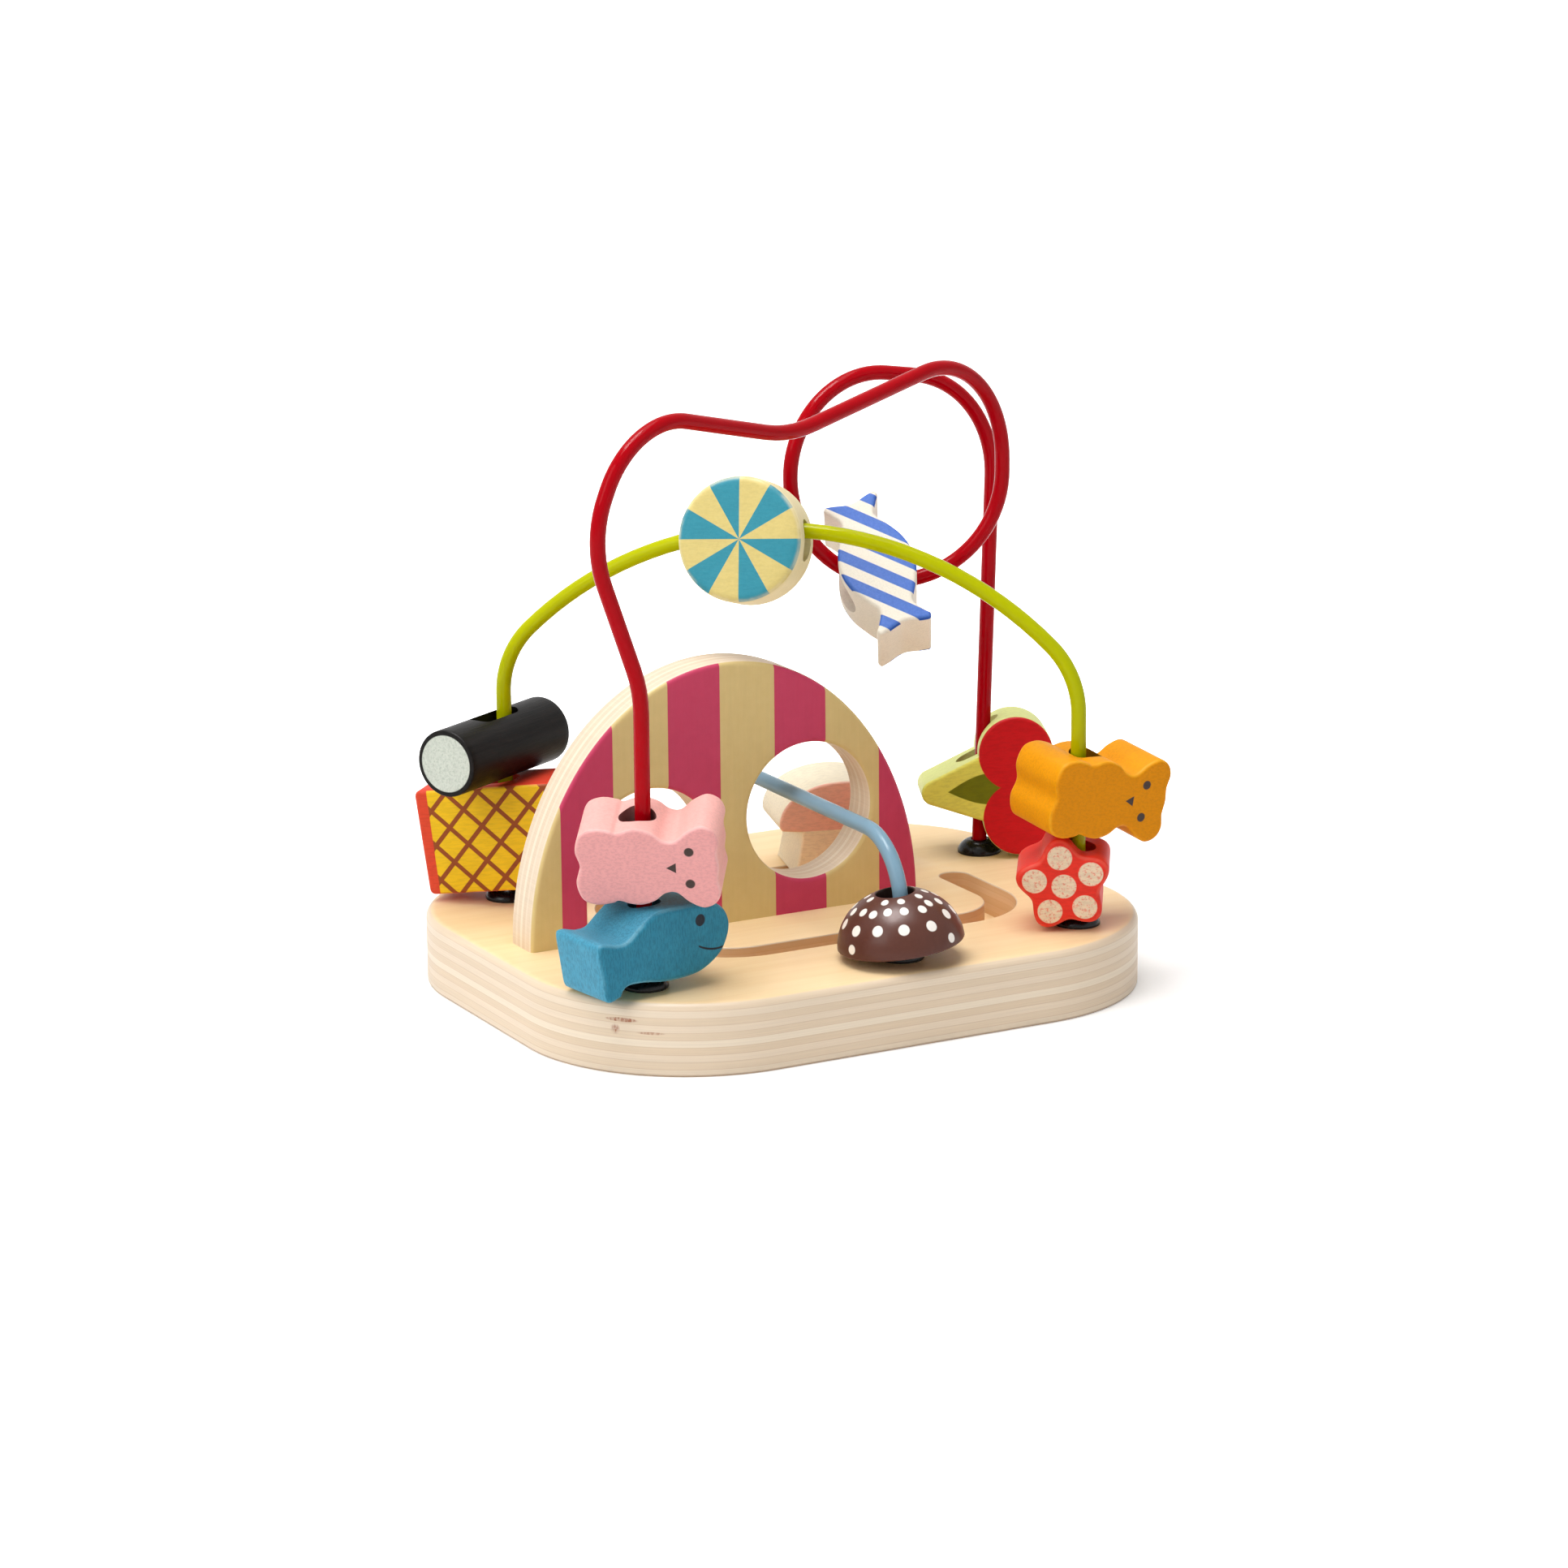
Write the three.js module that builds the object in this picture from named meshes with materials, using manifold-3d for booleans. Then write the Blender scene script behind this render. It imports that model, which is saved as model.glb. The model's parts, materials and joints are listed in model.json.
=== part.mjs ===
// Bead frame: a plywood base with a striped arch panel, three bent wires and the
// wooden beads that ride on them. Millimetres, +Z up, the long side along X, front at -Y.
import * as THREE from 'three';
import { mergeVertices } from 'three/addons/utils/BufferGeometryUtils.js';
import Module from 'manifold-3d';

const wasm = await Module();
wasm.setup();

// Base board and its routed track
const BASE_LENGTH = 194.5;
const BASE_WIDTH = 163;
const BASE_THICK = 21.4;
const BASE_CORNER = 52;
const BASE_ROUND = 2.6;
const TRACK_WIDTH = 9.5;
const TRACK_DEPTH = 10;
const TRACK_BEND = 20.6;
const TRACK_RIGHT_X = 62.2;
const TRACK_FRONT_Y = -38;
const TRACK_BACK_Y = 35.5;
const TRACK_FRONT_END_Y = 4;
const TRACK_BACK_END_X = 58;

// Arch panel with a doorway and a round window
const PANEL_X = -21.9;
const PANEL_FRONT_Y = -7.9;
const PANEL_THICK = 13.4;
const PANEL_HALF_WIDTH = 64.2;
const PANEL_HEIGHT = 78.7;
const PANEL_ROUND = 1.4;
const DOOR_X = -46.6;
const DOOR_HALF_WIDTH = 20.8;
const DOOR_SPRING = 22.9;
const WINDOW_X = 5.7;
const WINDOW_Z = 30.6;
const WINDOW_RADIUS = 20.6;

// Wires, their seats in the base and the collars at their feet
const WIRE_DIA = 4.5;
const WIRE_SIDES = 12;
const WIRE_CHORD_ERROR = 0.19;
const SEAT_DEPTH = 14;
const SEAT_CLEAR = 0.2;
const COLLAR_RADIUS = 6.7;
const COLLAR_HEIGHT = 4.2;
const COLLAR_SIDES = 20;
const COLLAR_SHOULDER = 0.8;

const RED_HEIGHT = 164.8;
const RED_FRONT = { x: -BASE_LENGTH / 2 + 24.75, y: -BASE_WIDTH / 2 + 27.5 };
const RED_REAR = { x: BASE_LENGTH / 2 - 14.35, y: BASE_WIDTH / 2 - 56.8 };
const RED_LEG_TOP = 0.52 * RED_HEIGHT;
const RED_LEG_BEND = 38.5;
const RED_LEAN_X = RED_FRONT.x - 15;
const RED_LEAN_TOP = 0.7816 * RED_HEIGHT;
const RED_LEAN_BEND = 36;
const RED_ARCH_X = RED_FRONT.x - 1;
const RED_ARCH_TOP = 0.9927 * RED_HEIGHT;
const RED_ARCH_BEND = 24.8;
const RED_DIP = { x: -13.1, y: -31.8, z: 0.9005 * RED_HEIGHT };
const RED_DIP_BEND = 51.8;
const LOOP_RADIUS = 32.2;
const LOOP_TURN = 18;
const LOOP_X = 46.4;
const LOOP_Y = 11.4;
const LOOP_BOTTOM = 0.5583 * RED_HEIGHT;
const LOOP_ENTRY_TOP = RED_HEIGHT;
const LOOP_ENTRY_BEND = 31.4;
const LOOP_EXIT_TOP = 0.9606 * RED_HEIGHT;
const LOOP_EXIT_BEND = 28.9;
const RED_REAR_TOP = { x: RED_REAR.x + 5.3, z: 0.8902 * RED_HEIGHT };
const RED_REAR_BEND = 33;
const RED_FOOT_BEND = 30;

const LIME_REAR = { x: -BASE_LENGTH / 2 + 31.05, y: BASE_WIDTH / 2 - 31.8 };
const LIME_FRONT = { x: BASE_LENGTH / 2 - 30.55, y: -BASE_WIDTH / 2 + 21.9 };
const LIME_SHOULDER = 75;
const LIME_SHOULDER_BEND = 28;
const LIME_CROWN_BEND = 110.6;
const LIME_PEAK = 160.1;

const BLUE_X = 4.4;
const BLUE_FRONT_Y = -BASE_WIDTH / 2 + 16.9;
const BLUE_REAR_Y = BASE_WIDTH / 2 - 19.4;
const BLUE_HEIGHT = 34.2;
const BLUE_BEND = 20;

// Beads
const EDGE_ROUND = 2;
const BORE_DIA = 10.6;
const BORE_SIDES = 24;
const REST_GAP = 0.3;

const FISH_THICK = 22.4;
const FISH_YAW = 8;
const FISH_LENGTH_BEHIND = 23.6;
const FISH_LENGTH_AHEAD = 21.8;
const FISH_BELLY = 0.2015;
const FISH_BACK = 26.3;
const FISH_ROUND = 0.9;
const FISH_DROP = 1.4;
const FISH_BORE_DIA = 9.4;

const BEAR_THICK = 22.4;
const BEAR_LENGTH = 40.4;
const BEAR_EAR_HALF = 12.6;
const BEAR_PAW_HALF = 11.7;
const BEAR_NECK_HALF = 8.7;
const BEAR_BORE_X = -3.4;
const PINK_BEAR = { shift: 2.3, z: 39.7, yaw: -33, pitch: -11, roll: 1 };
const ORANGE_BEAR = { shift: 4.1, z: 40.3, yaw: 2, pitch: -5, roll: -8.5 };

const FLOWER_THICK = 22;
const FLOWER_RADIUS = 12.3;
const FLOWER_LOBE = 1.7;
const FLOWER_LOBES = 5;
const FLOWER_TURN = 98.5;
const FLOWER_BORE_X = 3.3;
const FLOWER_BORE_DIA = 11.6;
const FLOWER = { shift: -3.7, z: 14.7, yaw: -33, pitch: -2.5, roll: 0 };

const CHERRY_THICK = 20.4;
const CHERRY_BACK = 1.4;
const CHERRY_LOBE_RADIUS = 11.5;
const CHERRY_LOBE_X = 11;
const CHERRY_LOBE_Z = 10.1;
const CHERRY_TIP_X = -18.8;
const CHERRY_TIP_RADIUS = 4;
const CHERRY_TIP_HALF_ANGLE = 28;
const CHERRY_SLOT_LENGTH = 14;
const CHERRY_SLOT_WIDTH = 9;
const CHERRY = { shift: 0.4, z: 21.4, yaw: -26, pitch: 4, roll: 4 };

const WAFFLE_TOP_WIDTH = 47;
const WAFFLE_BOTTOM_WIDTH = 46;
const WAFFLE_HEIGHT = 32;
const WAFFLE_THICK = 21.6;
const WAFFLE_CORNER = 2;
const WAFFLE_BORE_DIA = 12.4;
const WAFFLE = { shift: 0, z: 20.8, yaw: -45, pitch: 0, roll: 7 };

const ROLL_RADIUS = 10;
const ROLL_LENGTH = 50;
const ROLL_CHAMFER = 0.6;
const ROLL_SLOT_LENGTH = 20;
const ROLL_SLOT_WIDTH = 7;
const ROLL = { shift: -5.2, z: 47.6, yaw: 30, pitch: 0, roll: 0 };

const DISC_RADIUS = 18.5;
const DISC_THICK = 17;
const DISC_SLOT_HEIGHT = 12.4;
const DISC_SLOT_WIDTH = 7.6;
const DISC_DROP = 3;
const DISC_ALONG = 74;
const DISC_YAW_SLACK = -3;
const DISC_ROLL_SLACK = -3.5;
const DISC_TILT = 15;

const CANDY_THICK = 22.4;
const CANDY_ROUND = 0.8;
const CANDY_BODY_HALF_WIDTH = 11.3;
const CANDY_BODY_HALF_LENGTH = 13.5;
const CANDY_NECK_HALF = 5.3;
const CANDY_NECK_AT = 15.5;
const CANDY_WING_HALF = 8.6;
const CANDY_WING_AT = 22;
const CANDY_SLOT_HEIGHT = 19.2;
const CANDY_SLOT_WIDTH = 13.6;
const CANDY_SLOT_UP = 2.6;
const CANDY_SWING = -11;
const CANDY_SLACK_BACK = -1.7;
const CANDY_SLACK_UP = -0.7;
const CANDY = { yaw: -30, pitch: 39, roll: 22 };

const DOME_RADIUS = 18.4;
const DOME_RISE = 18.5;
const DOME_BORE_DIA = 10.8;
const DOME_LIP = 0.6;
const DOME = { shift: 0, z: 4.3, yaw: -28, pitch: 0, roll: 6.7 };

const MUSHROOM_THICK = 26;
const MUSHROOM_X = 37.6;
const MUSHROOM_YAW = -16;
const MUSHROOM_HEIGHT = 28.9;
const CAP_HALF_WIDTH = 19.7;
const CAP_RIM = 14.2;
const STEM_TOP_HALF = 12.7;
const STEM_FOOT_HALF = 15;
const PEG_CLEAR = 0.6;
const PEG_LENGTH = 8;

const WIRE_RADIUS = WIRE_DIA / 2;
const TOP = BASE_THICK;
const rad = THREE.MathUtils.degToRad;

// Solid helpers
function solid(geometry) {
  const bare = geometry.clone();
  bare.deleteAttribute('normal');
  bare.deleteAttribute('uv');
  const welded = mergeVertices(bare, 1e-4);
  const mesh = new wasm.Mesh({
    numProp: 3,
    vertProperties: new Float32Array(welded.attributes.position.array),
    triVerts: new Uint32Array(welded.index.array),
  });
  mesh.merge();
  return new wasm.Manifold(mesh);
}

function geometryOf(manifold) {
  const mesh = manifold.getMesh();
  const geometry = new THREE.BufferGeometry();
  geometry.setAttribute('position', new THREE.BufferAttribute(new Float32Array(mesh.vertProperties), 3));
  geometry.setIndex(new THREE.BufferAttribute(new Uint32Array(mesh.triVerts), 1));
  const flat = geometry.toNonIndexed();
  flat.computeVertexNormals();
  return flat;
}

function cut(geometry, ...tools) {
  let body = solid(geometry);
  for (const tool of tools) {
    body = body.subtract(solid(tool));
  }
  return geometryOf(body);
}

function join(geometry, ...others) {
  let body = solid(geometry);
  for (const other of others) {
    body = body.add(solid(other));
  }
  return geometryOf(body);
}

// A flat outline in X and Z made into a board of the given thickness, centred on Y = 0.
function board(shape, thick, round, roundSteps, curveSteps) {
  const geometry = new THREE.ExtrudeGeometry(shape, {
    depth: thick - 2 * round,
    curveSegments: curveSteps,
    bevelEnabled: round > 0,
    bevelThickness: round,
    bevelSize: round,
    bevelOffset: -round,
    bevelSegments: roundSteps,
  });
  geometry.translate(0, 0, round - thick / 2);
  geometry.rotateX(Math.PI / 2);
  return geometry;
}

function verticalBore(diameter, length, x, z) {
  const bore = new THREE.CylinderGeometry(diameter / 2, diameter / 2, length, BORE_SIDES);
  bore.rotateX(Math.PI / 2);
  bore.translate(x, 0, z);
  return bore;
}

function slotShape(length, width) {
  const half = (length - width) / 2;
  const shape = new THREE.Shape();
  shape.absarc(half, 0, width / 2, -Math.PI / 2, Math.PI / 2);
  shape.absarc(-half, 0, width / 2, Math.PI / 2, 3 * Math.PI / 2);
  return shape;
}

// A slot along X, run through the full height of a bead.
function verticalSlot(length, width, height) {
  const slot = new THREE.ExtrudeGeometry(slotShape(length, width), {
    depth: height, bevelEnabled: false, curveSegments: 5,
  });
  slot.translate(0, 0, -height / 2);
  return slot;
}

// A slot standing up along Z, run through a bead from side to side along X.
function crossSlot(height, width, length) {
  const slot = verticalSlot(height, width, length);
  slot.rotateY(Math.PI / 2);
  return slot;
}

// Yaw turns a bead on its wire, pitch tips its face up, roll lifts its right-hand end.
function place(geometry, at, pose) {
  const matrix = new THREE.Matrix4().makeRotationZ(rad(pose.yaw));
  matrix.multiply(new THREE.Matrix4().makeRotationX(-rad(pose.pitch)));
  matrix.multiply(new THREE.Matrix4().makeRotationY(-rad(pose.roll)));
  const turned = geometry.clone().applyMatrix4(matrix);
  turned.translate(at.x, at.y, at.z);
  return turned;
}

function onLeg(geometry, foot, pose) {
  const shifted = geometry.clone();
  shifted.translate(pose.shift, 0, 0);
  return place(shifted, { x: foot.x, y: foot.y, z: TOP + pose.z }, pose);
}

// A wire bent at its corners: straight runs joined by arcs of each corner's bend radius.
class BentPath extends THREE.Curve {
  constructor(corners) {
    super();
    this.stations = [];
    const points = corners.map((corner) => corner.at);
    this.addStation(points[0], points[1].clone().sub(points[0]));
    for (let i = 1; i < points.length - 1; i += 1) {
      this.addBend(points[i - 1], points[i], points[i + 1], corners[i].bend);
    }
    const last = points.length - 1;
    this.addStation(points[last], points[last].clone().sub(points[last - 1]));
  }

  addStation(point, direction) {
    this.stations.push({ point: point.clone(), tangent: direction.clone().normalize() });
  }

  addBend(before, corner, after, radius) {
    const back = before.clone().sub(corner).normalize();
    const ahead = after.clone().sub(corner).normalize();
    const turn = Math.PI - back.angleTo(ahead);
    const run = radius * Math.tan(turn / 2);
    const start = corner.clone().addScaledVector(back, run);
    const middle = back.clone().add(ahead).normalize();
    const centre = corner.clone().addScaledVector(middle, radius / Math.cos(turn / 2));
    const spoke = start.clone().sub(centre).normalize();
    const along = back.clone().negate();
    const steps = Math.ceil(turn / (2 * Math.acos(1 - WIRE_CHORD_ERROR / radius)));
    for (let i = 0; i <= steps; i += 1) {
      const angle = turn * i / steps;
      const point = centre.clone()
        .addScaledVector(spoke, radius * Math.cos(angle))
        .addScaledVector(along, radius * Math.sin(angle));
      const tangent = spoke.clone().multiplyScalar(-Math.sin(angle)).addScaledVector(along, Math.cos(angle));
      const previous = this.stations[this.stations.length - 1].point;
      if (previous.distanceTo(point) > 0.05) {
        this.addStation(point, tangent);
      }
    }
  }

  station(u) {
    return this.stations[Math.round(u * (this.stations.length - 1))];
  }

  getPointAt(u) {
    return this.station(u).point.clone();
  }

  getTangentAt(u) {
    return this.station(u).tangent.clone();
  }
}

function wire(corners) {
  const path = new BentPath(corners);
  const section = new THREE.Shape();
  section.absarc(0, 0, WIRE_RADIUS, 0, 2 * Math.PI);
  return new THREE.ExtrudeGeometry(section, {
    steps: path.stations.length - 1, curveSegments: WIRE_SIDES / 2, extrudePath: path, bevelEnabled: false,
  });
}

function corner(x, y, z, bend = 0) {
  return { at: new THREE.Vector3(x, y, TOP + z), bend };
}

// The outline of a groove of constant width that follows a bent path in the base plane.
function grooveShape(path, width) {
  const left = [];
  const right = [];
  for (const { point, tangent } of path.stations) {
    const across = new THREE.Vector2(-tangent.y, tangent.x).multiplyScalar(width / 2);
    left.push(new THREE.Vector2(point.x + across.x, point.y + across.y));
    right.push(new THREE.Vector2(point.x - across.x, point.y - across.y));
  }
  const shape = new THREE.Shape(left);
  const endCap = (station, from) => {
    const facing = Math.atan2(station.tangent.y, station.tangent.x);
    shape.absarc(station.point.x, station.point.y, width / 2, facing + from, facing + from - Math.PI, true);
  };
  endCap(path.stations[path.stations.length - 1], Math.PI / 2);
  for (const point of right.reverse()) {
    shape.lineTo(point.x, point.y);
  }
  endCap(path.stations[0], -Math.PI / 2);
  return shape;
}

const trackPath = new BentPath([
  corner(TRACK_RIGHT_X, TRACK_FRONT_END_Y, 0),
  corner(TRACK_RIGHT_X, TRACK_FRONT_Y, 0, TRACK_BEND),
  corner(DOOR_X, TRACK_FRONT_Y, 0, TRACK_BEND),
  corner(DOOR_X, TRACK_BACK_Y, 0, TRACK_BEND),
  corner(TRACK_BACK_END_X, TRACK_BACK_Y, 0),
]);

const feet = {
  red_front: RED_FRONT,
  red_rear: RED_REAR,
  lime_rear: LIME_REAR,
  lime_front: LIME_FRONT,
  blue_front: { x: BLUE_X, y: BLUE_FRONT_Y },
  blue_rear: { x: BLUE_X, y: BLUE_REAR_Y },
};

function baseBoard() {
  const hx = BASE_LENGTH / 2 - BASE_CORNER;
  const hy = BASE_WIDTH / 2 - BASE_CORNER;
  const outline = new THREE.Shape();
  outline.absarc(hx, hy, BASE_CORNER, 0, Math.PI / 2);
  outline.absarc(-hx, hy, BASE_CORNER, Math.PI / 2, Math.PI);
  outline.absarc(-hx, -hy, BASE_CORNER, Math.PI, 3 * Math.PI / 2);
  outline.absarc(hx, -hy, BASE_CORNER, 3 * Math.PI / 2, 2 * Math.PI);
  const blank = new THREE.ExtrudeGeometry(outline, {
    depth: BASE_THICK - BASE_ROUND,
    curveSegments: 8,
    bevelThickness: BASE_ROUND,
    bevelSize: BASE_ROUND,
    bevelOffset: -BASE_ROUND,
    bevelSegments: 3,
  });
  const below = new THREE.BoxGeometry(2 * BASE_LENGTH, 2 * BASE_WIDTH, 2 * BASE_ROUND);
  below.translate(0, 0, -BASE_ROUND);
  const groove = new THREE.ExtrudeGeometry(grooveShape(trackPath, TRACK_WIDTH), {
    depth: TRACK_DEPTH + 1, curveSegments: 6, bevelEnabled: false,
  });
  groove.translate(0, 0, TOP - TRACK_DEPTH);
  const seats = Object.values(feet).map((foot) => {
    const seat = new THREE.CylinderGeometry(
      WIRE_RADIUS + SEAT_CLEAR, WIRE_RADIUS + SEAT_CLEAR, SEAT_DEPTH + 1, BORE_SIDES);
    seat.rotateX(Math.PI / 2);
    seat.translate(foot.x, foot.y, TOP - (SEAT_DEPTH - 1) / 2);
    return seat;
  });
  return cut(blank, below, groove, ...seats);
}

function archPanel() {
  const under = 2 * PANEL_ROUND;
  const outline = new THREE.Shape();
  const door = DOOR_X - PANEL_X;
  outline.moveTo(-PANEL_HALF_WIDTH, -under);
  outline.lineTo(door - DOOR_HALF_WIDTH, -under);
  outline.lineTo(door - DOOR_HALF_WIDTH, DOOR_SPRING);
  outline.absarc(door, DOOR_SPRING, DOOR_HALF_WIDTH, Math.PI, 0, true);
  outline.lineTo(door + DOOR_HALF_WIDTH, -under);
  outline.lineTo(PANEL_HALF_WIDTH, -under);
  outline.lineTo(PANEL_HALF_WIDTH, 0);
  outline.absellipse(0, 0, PANEL_HALF_WIDTH, PANEL_HEIGHT, 0, Math.PI);
  const window = new THREE.Path();
  window.absarc(WINDOW_X - PANEL_X, WINDOW_Z, WINDOW_RADIUS, 0, 2 * Math.PI, true);
  outline.holes.push(window);
  const blank = board(outline, PANEL_THICK, PANEL_ROUND, 2, 18);
  const below = new THREE.BoxGeometry(4 * PANEL_HALF_WIDTH, 4 * PANEL_THICK, 2 * under);
  below.translate(0, 0, -under);
  const panel = cut(blank, below);
  panel.translate(PANEL_X, PANEL_FRONT_Y + PANEL_THICK / 2, TOP);
  return panel;
}

const seatFloor = REST_GAP - SEAT_DEPTH;

function redWire() {
  const reachX = LOOP_RADIUS * Math.cos(rad(LOOP_TURN));
  const reachY = LOOP_RADIUS * Math.sin(rad(LOOP_TURN));
  const right = { x: LOOP_X + reachX, y: LOOP_Y - reachY };
  const left = { x: LOOP_X - reachX, y: LOOP_Y + reachY };
  return wire([
    corner(RED_FRONT.x, RED_FRONT.y, seatFloor),
    corner(RED_FRONT.x, RED_FRONT.y, RED_LEG_TOP, RED_LEG_BEND),
    corner(RED_LEAN_X, RED_FRONT.y, RED_LEAN_TOP, RED_LEAN_BEND),
    corner(RED_ARCH_X, RED_FRONT.y, RED_ARCH_TOP, RED_ARCH_BEND),
    corner(RED_DIP.x, RED_DIP.y, RED_DIP.z, RED_DIP_BEND),
    corner(right.x, right.y, LOOP_ENTRY_TOP, LOOP_ENTRY_BEND),
    corner(right.x, right.y, LOOP_BOTTOM, LOOP_RADIUS),
    corner(left.x, left.y, LOOP_BOTTOM, LOOP_RADIUS),
    corner(left.x, left.y, LOOP_EXIT_TOP, LOOP_EXIT_BEND),
    corner(RED_REAR_TOP.x, RED_REAR.y, RED_REAR_TOP.z, RED_REAR_BEND),
    corner(RED_REAR.x, RED_REAR.y, COLLAR_HEIGHT, RED_FOOT_BEND),
    corner(RED_REAR.x, RED_REAR.y, seatFloor),
  ]);
}

function limeWire() {
  const midX = (LIME_REAR.x + LIME_FRONT.x) / 2;
  const midY = (LIME_REAR.y + LIME_FRONT.y) / 2;
  return wire([
    corner(LIME_REAR.x, LIME_REAR.y, seatFloor),
    corner(LIME_REAR.x, LIME_REAR.y, LIME_SHOULDER, LIME_SHOULDER_BEND),
    corner(midX, midY, LIME_PEAK, LIME_CROWN_BEND),
    corner(LIME_FRONT.x, LIME_FRONT.y, LIME_SHOULDER, LIME_SHOULDER_BEND),
    corner(LIME_FRONT.x, LIME_FRONT.y, seatFloor),
  ]);
}

function blueWire() {
  return wire([
    corner(BLUE_X, BLUE_FRONT_Y, seatFloor),
    corner(BLUE_X, BLUE_FRONT_Y, BLUE_HEIGHT, BLUE_BEND),
    corner(BLUE_X, BLUE_REAR_Y, BLUE_HEIGHT, BLUE_BEND),
    corner(BLUE_X, BLUE_REAR_Y, seatFloor),
  ]);
}

function collar(foot) {
  const inner = WIRE_RADIUS + SEAT_CLEAR;
  const profile = new THREE.Path();
  profile.moveTo(inner, 0);
  profile.lineTo(COLLAR_RADIUS, 0);
  profile.lineTo(COLLAR_RADIUS, COLLAR_SHOULDER);
  profile.bezierCurveTo(
    COLLAR_RADIUS - 0.3, COLLAR_HEIGHT * 0.5,
    COLLAR_RADIUS - 2, COLLAR_HEIGHT,
    inner + 0.3, COLLAR_HEIGHT);
  profile.lineTo(inner, COLLAR_HEIGHT);
  profile.lineTo(inner, 0);
  const geometry = new THREE.LatheGeometry(profile.getPoints(4), COLLAR_SIDES);
  geometry.rotateX(Math.PI / 2);
  geometry.translate(foot.x, foot.y, TOP);
  return geometryOf(solid(geometry));
}

function fishBead() {
  const point = (along, up) => {
    const length = along > 0 ? FISH_LENGTH_AHEAD : FISH_LENGTH_BEHIND;
    return new THREE.Vector2(along * length, up * FISH_BACK);
  };
  const outline = new THREE.Shape();
  outline.setFromPoints([point(-1, 0.78), point(-0.864, 0.053)]);
  outline.splineThru([
    point(-0.703, 0.091),
    point(-0.576, 0.228),
    point(-0.339, 0.24),
    point(0, FISH_BELLY),
    point(0.367, FISH_BELLY + 0.007),
    point(0.615, 0.262),
    point(0.853, 0.395),
    point(0.963, 0.551),
    point(1, 0.707),
    point(0.94, 0.852),
    point(0.798, 0.954),
    point(0.55, 0.992),
    point(0.225, 1),
    point(-0.144, 0.985),
    point(-0.381, 0.852),
    point(-0.555, 0.73),
    point(-0.72, 0.715),
  ]);
  const body = board(outline, FISH_THICK, FISH_ROUND, 2, 3);
  const bored = cut(body, verticalBore(FISH_BORE_DIA, 2 * FISH_BACK, 0, FISH_BACK / 2));
  return place(bored, { ...RED_FRONT, z: TOP - FISH_DROP }, { yaw: FISH_YAW, pitch: 0, roll: 0 });
}

// A bear lying on its side, head to the right; the lower half mirrors the upper half.
function bearShape() {
  const half = BEAR_LENGTH / 2;
  const upper = [
    [-half, 5],
    [-half + 1.6, 10],
    [-half + 5.6, BEAR_PAW_HALF],
    [-10.4, BEAR_PAW_HALF - 0.5],
    [-8.4, BEAR_PAW_HALF - 1.2],
    [-5.4, BEAR_PAW_HALF - 0.3],
    [-2, BEAR_PAW_HALF],
    [1.6, BEAR_PAW_HALF - 1],
    [4.6, BEAR_NECK_HALF + 0.1],
    [7.8, BEAR_NECK_HALF],
    [11.2, BEAR_EAR_HALF - 1.7],
    [half - 5, BEAR_EAR_HALF],
    [half - 1.5, BEAR_EAR_HALF - 1.4],
    [half, 8],
    [half - 0.6, 4],
  ];
  const points = upper.map(([x, z]) => new THREE.Vector2(x, z));
  points.push(new THREE.Vector2(half - 0.2, 0));
  for (const [x, z] of upper.slice().reverse()) {
    points.push(new THREE.Vector2(x, -z));
  }
  const outline = new THREE.Shape();
  outline.moveTo(-half + 1.2, 0);
  outline.splineThru([...points, new THREE.Vector2(-half + 1.2, 0)]);
  return outline;
}

function bearBead(foot, pose) {
  const body = board(bearShape(), BEAR_THICK, EDGE_ROUND, 2, 2);
  const bored = cut(body, verticalBore(BORE_DIA, 4 * BEAR_EAR_HALF, BEAR_BORE_X, 0));
  return onLeg(bored, foot, pose);
}

function flowerBead() {
  const outline = new THREE.Shape();
  const count = 10 * FLOWER_LOBES;
  for (let i = 0; i < count; i += 1) {
    const angle = 2 * Math.PI * i / count;
    const reach = FLOWER_RADIUS + FLOWER_LOBE * Math.cos(FLOWER_LOBES * (angle - rad(FLOWER_TURN)));
    const step = i === 0 ? 'moveTo' : 'lineTo';
    outline[step](reach * Math.cos(angle), reach * Math.sin(angle));
  }
  const body = board(outline, FLOWER_THICK, EDGE_ROUND, 2, 1);
  const bored = cut(body, verticalBore(FLOWER_BORE_DIA, 4 * FLOWER_RADIUS, FLOWER_BORE_X, 0));
  return onLeg(bored, LIME_FRONT, FLOWER);
}

function cherryBead() {
  const slope = rad(90 + CHERRY_TIP_HALF_ANGLE);
  const tip = CHERRY_TIP_X + CHERRY_TIP_RADIUS;
  const lobe = CHERRY_LOBE_RADIUS;
  const outline = new THREE.Shape();
  outline.absarc(tip, 0, CHERRY_TIP_RADIUS, slope, 2 * Math.PI - slope);
  outline.absarc(CHERRY_LOBE_X, -CHERRY_LOBE_Z, lobe, Math.PI, 2.25 * Math.PI);
  outline.absarc(CHERRY_LOBE_X, CHERRY_LOBE_Z, lobe, -0.25 * Math.PI, Math.PI);
  const body = board(outline, CHERRY_THICK, EDGE_ROUND, 2, 7);
  const slot = verticalSlot(CHERRY_SLOT_LENGTH, CHERRY_SLOT_WIDTH, 8 * lobe);
  const bored = cut(body, slot);
  bored.translate(0, CHERRY_BACK, 0);
  return onLeg(bored, RED_REAR, CHERRY);
}

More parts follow.
